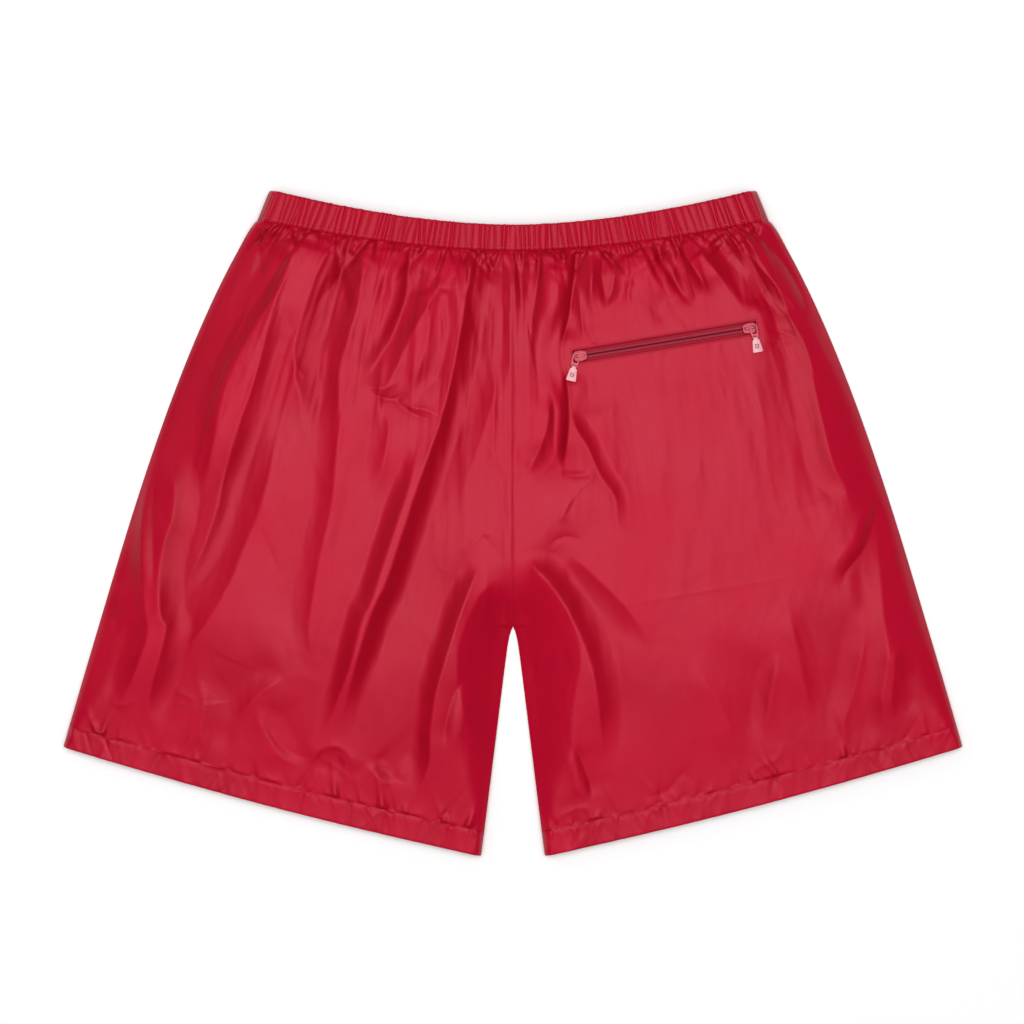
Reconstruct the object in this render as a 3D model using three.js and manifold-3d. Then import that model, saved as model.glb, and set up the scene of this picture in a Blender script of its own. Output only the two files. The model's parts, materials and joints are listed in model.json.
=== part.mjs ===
// Boxing shorts: light woven nylon, gathered elastic waist, zipped pocket on the wearer's right back.
// They lie flat on their front, back panels up and waist towards +Y, with the wearer's right at +X.
// Millimetres, +Z up. The origin is on the floor under the middle of the outline.
import * as THREE from 'three';
import { mergeVertices } from 'three/addons/utils/BufferGeometryUtils.js';
import Module from 'manifold-3d';

const { lerp, smoothstep, clamp, degToRad } = THREE.MathUtils;

// ---- Outline ----
const LENGTH = 544; // waist corner to the lowest point of the hem
const WAIST_HALF = 199; // half the waist's flat width, at its top edge
const SEAM_HALF = 209; // half the flat width at the waist seam
const HEM_HALF = 367.7; // half the spread from one outer hem corner to the other
const WAIST_DIP = 28.6; // how far the waist's middle hangs below its corners
const WAIST_CURVE = 1.75; // power of the dip's curve
const BAND_HEIGHT = 21.8; // waistband, at the centre back
const BAND_SIDE_HEIGHT = 25; // waistband, at the side seams
const CENTRE_SEAM = 306.2; // waist seam to crotch
const SIDE_BULGE = 17; // how far the side seam bows out over the hip
const SIDE_BULGE_POWER = 0.66; // below 1 moves the bow up towards the waist
const HEM_RISE = 89.4; // outer hem corner above the inner one
const HEM_BOW = 4; // how far each hem bows out below its chord
const HEM_DEPTH = 18.5; // turned-up hem
const LEG_SPREAD = 23.4; // how far each inseam leans out on its way down
const CROTCH_HALF = 2.6; // half the width of the round between the legs
const CROTCH_DROP = 6; // over this length the round opens

// ---- Height as it lies ----
const LOFT = 22; // top of the back panels over the floor
const BAND_LOFT = 18; // waistband, back and front together
const HEM_LOFT = 12; // leg mouth, back and front together
const EDGE_ROLL = 42; // width over which the back panels fall to the side seams
const BAND_ROLL = 9;
const HEM_ROLL = 6;
const CLOTH = 0.8; // thickness that stands in for one layer of thin cloth
const CLEAR = 0.3; // gap between pieces that touch

// ---- Waist elastic, seams, label ----
const ELASTIC = 1.2;
const ELASTIC_FROM = 0.07; // share of the band's height
const ELASTIC_TO = 0.86;
const ALLOWANCE_WIDTH = 8;
const ALLOWANCE_THICK = 1;
const ALLOWANCE_START = 3.5; // seam line to the near edge of the allowance
const ALLOWANCE_CLEAR = 0.6; // over the curved cloth below it
const LABEL_WIDTH = 20;
const LABEL_LENGTH = 34;
const LABEL_THICK = 0.4;

// ---- Zip pocket ----
const ZIP_DROP = 74.2; // centre of the waist seam down to the middle of the zip
const ZIP_TO_SIDE = 58.5; // upper end of the window to the side seam
const ZIP_TILT = degToRad(9.3);
const SLIDER_SPAN = 139; // between the two sliders' centres, zip closed
const SLIDER_LENGTH = 10.4;
const SLIDER_WIDTH = 8.8;
const SLIDER_TAIL_WIDTH = 7.4;
const WINDOW_CLEAR = 0.8; // slider to window edge
const FACING_THICK = 0.5;
const FACING_MARGIN = 8;
const COIL_WIDTH = 5.7; // both rows together
const COIL_HEIGHT = 2;
const COIL_SPLIT = 1.2; // slot in which the slider's post runs
const TAPE_WIDTH = 12;
const TAPE_THICK = 0.6;
const TAPE_SPLIT = 1.1;
const TAPE_OVERRUN = 6.5; // past each end of the window
const STOP_LENGTH = 1.5;
const STOP_WIDTH = 6.4;
const BAG_WIDTH = 165;
const BAG_DEPTH = 205;
const BAG_CLOTH = 0.6;
const BAG_FLOOR = 7; // underside of the bag over the floor

// ---- Slider and pull ----
const WING = 1.2;
const LOWER_WING = 1.1;
const POST_WIDTH = 0.5;
const POST_LENGTH = 2.4;
const FOOT_X = 3.3; // bridge foot from the slider's centre
const FOOT_LENGTH = 1.3;
const BRIDGE_WIDTH = 2;
const BRIDGE_THICK = 1;
const PULL_HEIGHT = 1.1; // middle of the pull over the cloth
const RING_RADIUS = 3.1;
const RING_WIRE = 1.1;
const RING_LENGTH = 5.3; // swivel point to the neck
const NECK_LENGTH = 2.3;
const NECK_WIDTH = 5.7;
const PIN_DROP = 1.1; // neck to pin
const PIN_RADIUS = 0.35;
const PIN_CLEAR = 0.07;
const EAR_WIDTH = 0.85;
const EAR_RADIUS = 0.8;
const KNUCKLE_RADIUS = 0.75;
const TAB_GAP = 1.25; // pin to the tab's top edge
const TAB_LENGTH = 10.5;
const TAB_TOP_WIDTH = 5.6;
const TAB_END_WIDTH = 8.2;
const TAB_THICK = 1.2;
const LEFT_LEAN = degToRad(22.7); // pulls swung outwards from square to the zip
const RIGHT_LEAN = degToRad(1.3);

// ---- Derived places ----
const TOP_Y = LENGTH / 2;
const HEM_Y = -LENGTH / 2;
const SEAM_SIDE_Y = TOP_Y - BAND_SIDE_HEIGHT;
const SEAM_CENTRE_Y = TOP_Y - WAIST_DIP - BAND_HEIGHT;
const CROTCH_Y = SEAM_CENTRE_Y - CENTRE_SEAM;
const HEM_SIDE_Y = HEM_Y + HEM_RISE;
const SIDE_LENGTH = Math.hypot(HEM_HALF - SEAM_HALF, SEAM_SIDE_Y - HEM_SIDE_Y);
const SEAM_MIDDLE = CLOTH + CLEAR / 2; // height of the side seams between waist and hem
const BAND_WALL = 2 * CLOTH + 2 * CLEAR + ELASTIC;
const HEM_WALL = 2 * CLOTH + CLEAR;

// Rows of a panel run from the hem, v = 0, to the waist seam, v = 1, and one row lies on the crotch.
const ROWS = 16;
const COLUMNS = 16;
const FORK_ROW = 6;
const FORK = FORK_ROW / ROWS;
const BAND_BLEND = 1 - 1 / ROWS; // above this the panels close in to the waistband
const HEM_BLEND = 0.3; // below this they close in to the hem
const HEM_V = HEM_DEPTH / SIDE_LENGTH;
const GAP_V = CLEAR / SIDE_LENGTH;

// ---- Heights inside the zip, from the cloth down ----
const WINDOW_LENGTH = SLIDER_SPAN + SLIDER_LENGTH + 2 * WINDOW_CLEAR;
const WINDOW_WIDTH = SLIDER_WIDTH + 2 * WINDOW_CLEAR;
const FACING_TOP = LOFT - CLOTH - CLEAR;
const FACING_UNDER = FACING_TOP - FACING_THICK;
const COIL_TOP = FACING_UNDER - CLEAR;
const COIL_UNDER = COIL_TOP - COIL_HEIGHT;
const TAPE_TOP = COIL_UNDER - CLEAR;
const TAPE_UNDER = TAPE_TOP - TAPE_THICK;
const BAG_TOP = TAPE_UNDER - CLEAR;
const WING_UNDER = COIL_TOP + CLEAR;
const WING_TOP = WING_UNDER + WING;
const LOWER_WING_TOP = TAPE_UNDER - CLEAR;
const PULL_Z = LOFT + PULL_HEIGHT;
const BRIDGE_UNDER = PULL_Z + RING_WIRE / 2 + CLEAR + 0.05;
const BRIDGE_TOP = BRIDGE_UNDER + BRIDGE_THICK;
const PIN_Y = -(RING_LENGTH + NECK_LENGTH + PIN_DROP);

const wasm = await Module();
wasm.setup();

// ---- Materials ----
function finish(color, roughness, metalness = 0) {
  return new THREE.MeshStandardMaterial({ color, roughness, metalness });
}

const nylon = finish(0xb82137, 0.42);
const lining = finish(0xa81d33, 0.6);
const elasticWeb = finish(0xd8d4cf, 0.85);
const tapeWeave = finish(0x9c1230, 0.8);
const coilNylon = finish(0x8f2038, 0.45);
const sliderMetal = finish(0xd8546c, 0.3, 0.8);
const tabMetal = finish(0xf2b4b8, 0.3, 0.85);
const pinSteel = finish(0x8c6a70, 0.35, 1);
const labelCloth = finish(0xf0ece4, 0.9);

// ---- Geometry helpers ----
function piece(name, geometry, material) {
  const mesh = new THREE.Mesh(geometry, material);
  mesh.name = name;
  return mesh;
}

function signedVolume(geometry) {
  const flat = geometry.index ? geometry.toNonIndexed() : geometry;
  const corners = flat.attributes.position;
  const [a, b, c] = [new THREE.Vector3(), new THREE.Vector3(), new THREE.Vector3()];
  let volume = 0;
  for (let i = 0; i < corners.count; i += 3) {
    a.fromBufferAttribute(corners, i);
    b.fromBufferAttribute(corners, i + 1);
    c.fromBufferAttribute(corners, i + 2);
    volume += a.dot(b.cross(c)) / 6;
  }
  return volume;
}

// Only positions, with shared corners merged and the faces pointing out.
function closed(geometry) {
  const plain = geometry.clone();
  plain.deleteAttribute('normal');
  plain.deleteAttribute('uv');
  const merged = mergeVertices(plain, 1e-4);
  if (signedVolume(merged) < 0) {
    const order = merged.index.array;
    for (let i = 0; i < order.length; i += 3) {
      [order[i], order[i + 1]] = [order[i + 1], order[i]];
    }
  }
  return merged;
}

function solid(geometry) {
  const shape = closed(geometry);
  const vertProperties = new Float32Array(shape.attributes.position.array);
  const triVerts = new Uint32Array(shape.index.array);
  return new wasm.Manifold(new wasm.Mesh({ numProp: 3, vertProperties, triVerts }));
}

function geometryOf(manifold) {
  const mesh = manifold.getMesh();
  const geometry = new THREE.BufferGeometry();
  geometry.setAttribute('position', new THREE.BufferAttribute(new Float32Array(mesh.vertProperties), 3));
  geometry.setIndex(new THREE.BufferAttribute(new Uint32Array(mesh.triVerts), 1));
  return geometry;
}

function joined(...geometries) {
  return geometryOf(geometries.map(solid).reduce((whole, next) => whole.add(next)));
}

function cut(geometry, ...tools) {
  return geometryOf(tools.map(solid).reduce((whole, tool) => whole.subtract(tool), solid(geometry)));
}

// A block given by its lowest and highest corners.
function block(x0, x1, y0, y1, z0, z1) {
  const box = new THREE.BoxGeometry(x1 - x0, y1 - y0, z1 - z0);
  return box.translate((x0 + x1) / 2, (y0 + y1) / 2, (z0 + z1) / 2);
}

// A box whose corners (u, v, w), each 0 to 1, are carried to the points that place() gives.
function bentBox(columns, rows, place) {
  const geometry = new THREE.BoxGeometry(1, 1, 1, columns, rows, 1);
  const corners = geometry.attributes.position;
  for (let i = 0; i < corners.count; i += 1) {
    const [x, y, z] = place(corners.getX(i) + 0.5, corners.getY(i) + 0.5, corners.getZ(i) + 0.5);
    corners.setXYZ(i, x, y, z);
  }
  return closed(geometry);
}

// A closed ring. profile holds (depth, height) pairs, and place(turn, depth, height) puts them in space.
function bentRing(profile, steps, place) {
  const hub = 10;
  const points = [...profile, profile[0]].map(([depth, height]) => new THREE.Vector2(hub - depth, height));
  const geometry = new THREE.LatheGeometry(points, steps);
  const corners = geometry.attributes.position;
  for (let i = 0; i < corners.count; i += 1) {
    const [across, height, along] = [corners.getX(i), corners.getY(i), corners.getZ(i)];
    const turn = Math.atan2(across, along);
    const [x, y, z] = place(turn, hub - Math.hypot(across, along), height);
    corners.setXYZ(i, x, y, z);
  }
  return closed(geometry);
}

// An outline of [x, y] pairs extruded from z0 to z1.
function plate(outline, z0, z1) {
  const shape = new THREE.Shape(outline.map(([x, y]) => new THREE.Vector2(x, y)));
  const geometry = new THREE.ExtrudeGeometry(shape, { depth: z1 - z0, bevelEnabled: false });
  return geometry.translate(0, 0, z0);
}

// A round bar along X.
function barX(radius, x0, x1, y, z) {
  const bar = new THREE.CylinderGeometry(radius, radius, x1 - x0, 16);
  return bar.rotateZ(Math.PI / 2).translate((x0 + x1) / 2, y, z);
}

// ---- Outline of one half, x >= 0 ----
function sidePoint(t) {
  const bow = SIDE_BULGE * Math.sin(Math.PI * Math.pow(t, SIDE_BULGE_POWER));
  return [lerp(SEAM_HALF, HEM_HALF, t) + bow, lerp(SEAM_SIDE_Y, HEM_SIDE_Y, t)];
}

// How far the side seam lies from the centre at a height y.
function sideAt(y) {
  return sidePoint((SEAM_SIDE_Y - y) / (SEAM_SIDE_Y - HEM_SIDE_Y))[0];
}

function inseamPoint(t) {
  const drop = t * (CROTCH_Y - HEM_Y);
  const round = CROTCH_HALF * (1 - Math.exp(-drop / CROTCH_DROP));
  return [CLEAR / 2 + LEG_SPREAD * t + round, CROTCH_Y - drop];
}

function innerPoint(v) {
  if (v < FORK) return inseamPoint(1 - v / FORK);
  return [CLEAR / 2, lerp(CROTCH_Y, SEAM_CENTRE_Y, (v - FORK) / (1 - FORK))];
}

// u runs from the centre seam or inseam, 0, to the side seam, 1.
function panelPoint(u, v) {
  const inner = innerPoint(v);
  const outer = sidePoint(1 - v);
  const waistBend = (SEAM_SIDE_Y - SEAM_CENTRE_Y) * (Math.pow(u, WAIST_CURVE) - u) * Math.pow(v, 6);
  const hemBend = -HEM_BOW * Math.sin(Math.PI * u) * Math.pow(1 - v, 3);
  return [lerp(inner[0], outer[0], u), lerp(inner[1], outer[1], u) + waistBend + hemBend];
}

// ---- Middle of the zip, placed from the waist seam and from the side seam ----
const ZIP_Y = SEAM_CENTRE_Y - ZIP_DROP;
const ZIP_END = new THREE.Vector2(WINDOW_LENGTH / 2, 0).rotateAround(new THREE.Vector2(), ZIP_TILT);
const ZIP_X = sideAt(ZIP_Y + ZIP_END.y) - ZIP_TO_SIDE - ZIP_END.x;

// ---- Height of the two layers ----
function alongLeg(v, band, middle, hem) {
  const upper = lerp(middle, band, smoothstep(v, BAND_BLEND, 1));
  return lerp(hem, upper, smoothstep(v, 0, HEM_BLEND));
}

const loftAt = (v) => alongLeg(v, BAND_LOFT, LOFT, HEM_LOFT);
const seamAt = (v) => alongLeg(v, BAND_LOFT / 2, SEAM_MIDDLE, HEM_LOFT / 2);
const rollAt = (v) => alongLeg(v, BAND_ROLL, EDGE_ROLL, HEM_ROLL);
const swell = (share) => 1 - (1 - clamp(share, 0, 1)) ** 2;

function widthAt(v) {
  const inner = innerPoint(v);
  const outer = sidePoint(1 - v);
  return Math.hypot(outer[0] - inner[0], outer[1] - inner[1]);
}

// 0 at the side seam, inseam and crotch, 1 where the layers lie fully apart.
function openness(u, v) {
  const [x, y] = panelPoint(u, v);
  const fromInner = v < FORK ? u * widthAt(v) : Math.hypot(x, y - CROTCH_Y);
  return swell(((1 - u) * widthAt(v)) / rollAt(v)) * swell(fromInner / rollAt(v));
}

function backTop(u, v) {
  const edge = seamAt(v) + CLEAR / 2 + CLOTH;
  return lerp(edge, loftAt(v), openness(u, v));
}

function frontUnder(u, v) {
  return (seamAt(v) - CLEAR / 2 - CLOTH) * (1 - openness(u, v));
}

// ---- Panels ----
const columnU = (share) => 0.5 - 0.5 * Math.cos(Math.PI * share);

// v of a row, given as a share of all rows: the lower rows cover the leg, the upper ones the seat.
function rowV(share) {
  const start = HEM_V + GAP_V;
  if (share < FORK) return lerp(start, FORK, share / FORK);
  return lerp(FORK, 1, (share - FORK) / (1 - FORK));
}

// Turns a place() of the right half into one of the left.
const mirrored = (place) => (u, v, w) => {
  const [x, y, z] = place(1 - u, v, w);
  return [-x, y, z];
};

function panel(heightAt, isLeft) {
  const place = (share, row, w) => {
    const [u, v] = [columnU(share), rowV(row)];
    const [x, y] = panelPoint(u, v);
    return [x, y, heightAt(u, v, w)];
  };
  return bentBox(COLUMNS, ROWS, isLeft ? mirrored(place) : place);
}

const backHeight = (u, v, w) => backTop(u, v) - CLOTH * (1 - w);
const frontHeight = (u, v, w) => frontUnder(u, v) + CLOTH * w;

function zipWindow() {
  const cutter = new THREE.BoxGeometry(WINDOW_LENGTH, WINDOW_WIDTH, 4 * CLOTH);
  return cutter.rotateZ(ZIP_TILT).translate(ZIP_X, ZIP_Y, LOFT - CLOTH / 2);
}

// ---- Waistband ----
const waistSteps = 64;

// turn goes once round the waist: 0 at one side seam, a quarter at the centre back.
function bandPoint(turn, depth, height) {
  const u = Math.cos(turn);
  const curve = Math.pow(Math.abs(u), WAIST_CURVE);
  const low = lerp(SEAM_CENTRE_Y, SEAM_SIDE_Y, curve);
  const high = lerp(TOP_Y - WAIST_DIP, TOP_Y, curve);
  const half = lerp(SEAM_HALF, WAIST_HALF, height) - depth;
  const rise = swell(((1 - Math.abs(u)) * SEAM_HALF) / BAND_ROLL);
  const level = (BAND_LOFT / 2 - depth) * rise * Math.sign(Math.sin(turn));
  return [u * half, lerp(low, high, height), BAND_LOFT / 2 + (Math.abs(u) > 1 - 1e-9 ? 0 : level)];
}

// A band folded over the top edge: outer layer, fold, inner layer, open along the waist seam.
function waistbandCasing() {
  const start = CLEAR / BAND_HEIGHT;
  const fold = 1 - CLOTH / BAND_HEIGHT;
  const profile = [
    [0, start], [0, 1], [BAND_WALL, 1], [BAND_WALL, start],
    [BAND_WALL - CLOTH, start], [BAND_WALL - CLOTH, fold], [CLOTH, fold], [CLOTH, start],
  ];
  return bentRing(profile, waistSteps, bandPoint);
}

// Half of the casing. The two strips are joined at the centre back and at the centre front.
function waistbandStrip(isLeft) {
  const other = block(-CLEAR / 2, WAIST_HALF + LOFT, 0, TOP_Y + LOFT, -LOFT, 2 * LOFT);
  return cut(waistbandCasing(), isLeft ? other : other.rotateY(Math.PI));
}

function waistElastic() {
  const near = CLOTH + CLEAR;
  const far = near + ELASTIC;
  const profile = [[near, ELASTIC_FROM], [near, ELASTIC_TO], [far, ELASTIC_TO], [far, ELASTIC_FROM]];
  return bentRing(profile, waistSteps, bandPoint);
}

// ---- Hems ----
function hemPoint(turn, depth, height) {
  const across = Math.cos(turn);
  const v = height * HEM_V;
  const halfWidth = widthAt(v) / 2;
  const u = 0.5 + (across / 2) * (1 - depth / halfWidth);
  const [x, y] = panelPoint(u, v);
  const rise = swell(((1 - Math.abs(across)) * halfWidth) / rollAt(v));
  const seam = seamAt(v);
  const isUpper = Math.sin(turn) > 0;
  const reach = isUpper ? loftAt(v) - seam - depth : -(seam - depth);
  return [x, y, seam + (Math.abs(across) > 1 - 1e-9 ? 0 : reach * rise)];
}

// The last stretch of a leg: outer layer, fold at the edge, layer turned up inside.
function hem(isLeft) {
  const fold = CLOTH / HEM_DEPTH;
  const profile = [
    [0, 0], [0, 1], [CLOTH, 1], [CLOTH, fold],
    [HEM_WALL - CLOTH, fold], [HEM_WALL - CLOTH, 1], [HEM_WALL, 1], [HEM_WALL, 0],
  ];
  const place = (turn, depth, height) => {
    const [x, y, z] = hemPoint(turn, depth, height);
    return [isLeft ? -x : x, y, z];
  };
  return bentRing(profile, 48, place);
}

// ---- Seam allowances, overlocked strips on the inside ----
// Rows from and to are panel rows, so that a strip bends where its panel bends.
function strip(fromRow, toRow, place) {
  const rows = toRow - fromRow;
  return bentBox(1, rows, (u, share, w) => place(u, rowV((fromRow + share * rows) / ROWS), w));
}

// From a side seam (edge 1) or an inseam (edge 0), lying on the front panel.
function edgeAllowance(edge, fromRow, toRow, isLeft) {
  const place = (across, v, w) => {
    const inset = edge === 1
      ? ALLOWANCE_START + ALLOWANCE_WIDTH * (1 - across)
      : ALLOWANCE_START + ALLOWANCE_WIDTH * across;
    const share = inset / widthAt(v);
    const u = edge === 1 ? 1 - share : share;
    const [x, y] = panelPoint(u, v);
    return [x, y, frontUnder(u, v) + CLOTH + ALLOWANCE_CLEAR + ALLOWANCE_THICK * w];
  };
  return strip(fromRow, toRow, isLeft ? mirrored(place) : place);
}

// The centre back allowance is pressed to the wearer's left, under the back panel.
function centreBackAllowance() {
  return strip(FORK_ROW + 1, ROWS, (across, v, w) => {
    const limited = Math.min(v, 1 - 2 * GAP_V);
    const [, y] = panelPoint(0, limited);
    const x = -(CLEAR + ALLOWANCE_WIDTH * (1 - across));
    return [x, y, backTop(0, limited) - CLOTH - CLEAR - ALLOWANCE_THICK * (1 - w)];
  });
}

function centreFrontAllowance() {
  return strip(FORK_ROW + 1, ROWS - 1, (across, v, w) => {
    const [, y] = panelPoint(0, v);
    return [CLEAR + ALLOWANCE_WIDTH * across, y, frontUnder(0, v) + CLOTH + CLEAR + ALLOWANCE_THICK * w];
  });
}

// A blank label that hangs from the waist seam at the centre back, under the allowance.
function careLabel() {
  const top = 1 - 2 * GAP_V;
  const bottom = top - (LABEL_LENGTH / CENTRE_SEAM) * (1 - FORK);
  return bentBox(1, 4, (across, share, w) => {
    const v = lerp(bottom, top, share);
    const [, y] = panelPoint(0, v);
    const under = backTop(0, v) - CLOTH - ALLOWANCE_THICK - 3 * CLEAR;
    return [LABEL_WIDTH * (across - 0.5), y, under - LABEL_THICK * (1 - w)];
  });
}

// ---- Zip, in the zip's own frame: X along the chain, Y up across it ----
function windowFacing() {
  const [halfLength, halfWidth] = [WINDOW_LENGTH / 2, WINDOW_WIDTH / 2];
  const reachX = halfLength + FACING_MARGIN;
  const reachY = halfWidth + FACING_MARGIN;
  const sheet = block(-reachX, reachX, -reachY, reachY, FACING_UNDER, FACING_TOP);
  const hole = block(-halfLength, halfLength, -halfWidth, halfWidth, FACING_UNDER - 1, FACING_TOP + 1);
  return cut(sheet, hole);
}

// side is 1 for the upper half of the zip and -1 for the lower.
function zipTape(side) {
  const half = WINDOW_LENGTH / 2 + TAPE_OVERRUN;
  const tape = block(-half, half, TAPE_SPLIT / 2, TAPE_SPLIT / 2 + TAPE_WIDTH, TAPE_UNDER, TAPE_TOP);
  return side > 0 ? tape : tape.rotateZ(Math.PI);
}

// A coil row is flat below and round above, as long as the window and a little more.
function zipCoil(side) {
  const half = WINDOW_LENGTH / 2 + CLEAR;
  const [near, far] = [COIL_SPLIT / 2, COIL_WIDTH / 2];
  const shoulder = COIL_TOP - COIL_HEIGHT / 3;
  const bevel = (far - near) / 3;
  const section = [
    [near, COIL_UNDER], [far, COIL_UNDER], [far, shoulder],
    [far - bevel, COIL_TOP], [near + bevel, COIL_TOP], [near, shoulder],
  ];
  const row = plate(section, -half, half).rotateX(Math.PI / 2).rotateZ(Math.PI / 2);
  return side > 0 ? row : row.rotateZ(Math.PI);
}

function zipStop(side) {
  const start = WINDOW_LENGTH / 2 + 2 * CLEAR;
  const stop = block(start, start + STOP_LENGTH, -STOP_WIDTH / 2, STOP_WIDTH / 2, COIL_UNDER, COIL_TOP);
  return side > 0 ? stop : stop.rotateZ(Math.PI);
}

// ---- Pocket bag ----
function bagTop() {
  const half = BAG_WIDTH / 2;
  return block(-half, half, -BAG_DEPTH, -WINDOW_WIDTH / 2, BAG_TOP - BAG_CLOTH, BAG_TOP);
}

// A tray, open upwards, with a flange that is sewn under the upper tape.
function bagBody() {
  const half = BAG_WIDTH / 2;
  const wallTop = BAG_TOP - BAG_CLOTH - CLEAR;
  const wallY = WINDOW_WIDTH / 2;
  const tray = block(-half, half, -BAG_DEPTH, wallY + BAG_CLOTH, BAG_FLOOR, wallTop);
  const hollow = block(
    -half + BAG_CLOTH, half - BAG_CLOTH, -BAG_DEPTH + BAG_CLOTH, wallY, BAG_FLOOR + BAG_CLOTH, wallTop + 1,
  );
  const rise = block(-half, half, wallY, wallY + BAG_CLOTH, BAG_FLOOR, BAG_TOP);
  const flange = block(-half, half, wallY, TAPE_SPLIT / 2 + TAPE_WIDTH, BAG_TOP - BAG_CLOTH, BAG_TOP);
  return joined(cut(tray, hollow), rise, flange);
}

// ---- Slider. Its mouth, the wide end that opens the chain, points to -X ----
function wingOutline() {
  const [front, back] = [-SLIDER_LENGTH / 2, SLIDER_LENGTH / 2];
  const [wide, narrow, corner] = [SLIDER_WIDTH / 2, SLIDER_TAIL_WIDTH / 2, 1.4];
  return [
    [front, -wide + corner], [front + corner, -wide], [0, -wide], [back - corner, -narrow],
    [back, -narrow + corner], [back, narrow - corner], [back - corner, narrow], [0, wide],
    [front + corner, wide], [front, wide - corner],
  ];
}

function sliderFlange(side) {
  const inner = COIL_WIDTH / 2 + CLEAR;
  const [start, end] = [-SLIDER_LENGTH / 2 + 1.4, 0];
  const low = TAPE_TOP + CLEAR;
  const flange = block(start, end, inner, SLIDER_WIDTH / 2, low, WING_TOP - 0.2);
  const tail = block(start, SLIDER_LENGTH / 2 - 1.4, inner, SLIDER_TAIL_WIDTH / 2, low, WING_TOP - 0.2);
  const whole = joined(flange, tail);
  return side > 0 ? whole : whole.rotateZ(Math.PI).scale(-1, 1, 1);
}

// An arch along the slider, standing on two feet, that holds the pull's ring.
function sliderBridge() {
  const reach = FOOT_X + FOOT_LENGTH / 2;
  const inside = FOOT_X - FOOT_LENGTH / 2;
  const [root, lip] = [WING_TOP - 0.5, 0.6];
  const arch = [
    [-reach, root], [-inside, root], [-inside, BRIDGE_UNDER], [inside, BRIDGE_UNDER], [inside, root],
    [reach, root], [reach, BRIDGE_TOP - lip], [reach - lip, BRIDGE_TOP],
    [-reach + lip, BRIDGE_TOP], [-reach, BRIDGE_TOP - lip],
  ];
  return plate(arch, -BRIDGE_WIDTH / 2, BRIDGE_WIDTH / 2).rotateX(Math.PI / 2);
}

function sliderBody() {
  const postTop = WING_UNDER + WING / 2;
  const postLow = LOWER_WING_TOP - LOWER_WING / 2;
  return joined(
    plate(wingOutline(), WING_UNDER, WING_TOP),
    plate(wingOutline(), LOWER_WING_TOP - LOWER_WING, LOWER_WING_TOP),
    block(-POST_LENGTH / 2, POST_LENGTH / 2, -POST_WIDTH / 2, POST_WIDTH / 2, postLow, postTop),
    sliderFlange(1),
    sliderFlange(-1),
    sliderBridge(),
  );
}

// ---- Pull: origin at the swivel point, hanging along -Y, Z = 0 at its middle ----
function pullLink() {
  const half = RING_WIRE / 2;
  const ringEnd = -RING_LENGTH;
  const neckEnd = ringEnd - NECK_LENGTH;
  const outline = new THREE.Shape();
  outline.moveTo(RING_RADIUS, 0);
  outline.absarc(0, 0, RING_RADIUS, 0, Math.PI, false);
  outline.lineTo(-RING_RADIUS, ringEnd + 0.4);
  outline.lineTo(-NECK_WIDTH / 2, ringEnd - 0.2);
  outline.lineTo(-NECK_WIDTH / 2, neckEnd);
  outline.lineTo(NECK_WIDTH / 2, neckEnd);
  outline.lineTo(NECK_WIDTH / 2, ringEnd - 0.2);
  outline.lineTo(RING_RADIUS, ringEnd + 0.4);
  const inner = RING_RADIUS - RING_WIRE;
  const hole = new THREE.Path();
  hole.moveTo(inner, 0);
  hole.absarc(0, 0, inner, 0, Math.PI, false);
  hole.lineTo(-inner, ringEnd + 0.8);
  hole.lineTo(-inner + 0.8, ringEnd);
  hole.lineTo(inner - 0.8, ringEnd);
  hole.lineTo(inner, ringEnd + 0.8);
  outline.holes.push(hole);
  const settings = { depth: RING_WIRE, bevelEnabled: false, curveSegments: 16 };
  const ring = new THREE.ExtrudeGeometry(outline, settings).translate(0, 0, -half);
  const bore = barX(PIN_RADIUS + PIN_CLEAR, -NECK_WIDTH, NECK_WIDTH, PIN_Y, 0);
  return cut(joined(ring, pullEar(1), pullEar(-1)), bore);
}

// One of the two ears under the neck, round about the pin.
function pullEar(side) {
  const outer = NECK_WIDTH / 2;
  const inner = outer - EAR_WIDTH;
  const top = -(RING_LENGTH + NECK_LENGTH) + 0.5;
  const cheek = block(inner, outer, PIN_Y, top, -EAR_RADIUS, EAR_RADIUS);
  const ear = joined(cheek, barX(EAR_RADIUS, inner, outer, PIN_Y, 0));
  return side > 0 ? ear : ear.translate(-inner - outer, 0, 0);
}

function pullPin() {
  return barX(PIN_RADIUS, -NECK_WIDTH / 2, NECK_WIDTH / 2, PIN_Y, 0);
}

// A tapered plate with a knuckle that turns on the pin between the ears.
function pullTab() {
  const top = PIN_Y - TAB_GAP;
  const end = top - TAB_LENGTH;
  const [halfTop, halfEnd, corner] = [TAB_TOP_WIDTH / 2, TAB_END_WIDTH / 2, 0.7];
  const outline = [
    [-halfTop, top - corner], [-halfEnd, end + corner], [-halfEnd + corner, end], [halfEnd - corner, end],
    [halfEnd, end + corner], [halfTop, top - corner], [halfTop - corner, top], [-halfTop + corner, top],
  ];
  const reach = NECK_WIDTH / 2 - EAR_WIDTH - CLEAR;
  const web = block(-reach, reach, top - 0.5, PIN_Y, -TAB_THICK / 2 + 0.1, TAB_THICK / 2 - 0.1);
  const knuckle = barX(KNUCKLE_RADIUS, -reach, reach, PIN_Y, 0);
  const bore = barX(PIN_RADIUS + PIN_CLEAR, -NECK_WIDTH, NECK_WIDTH, PIN_Y, 0);
  return cut(joined(plate(outline, -TAB_THICK / 2, TAB_THICK / 2), web, knuckle), bore);
}

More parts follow.
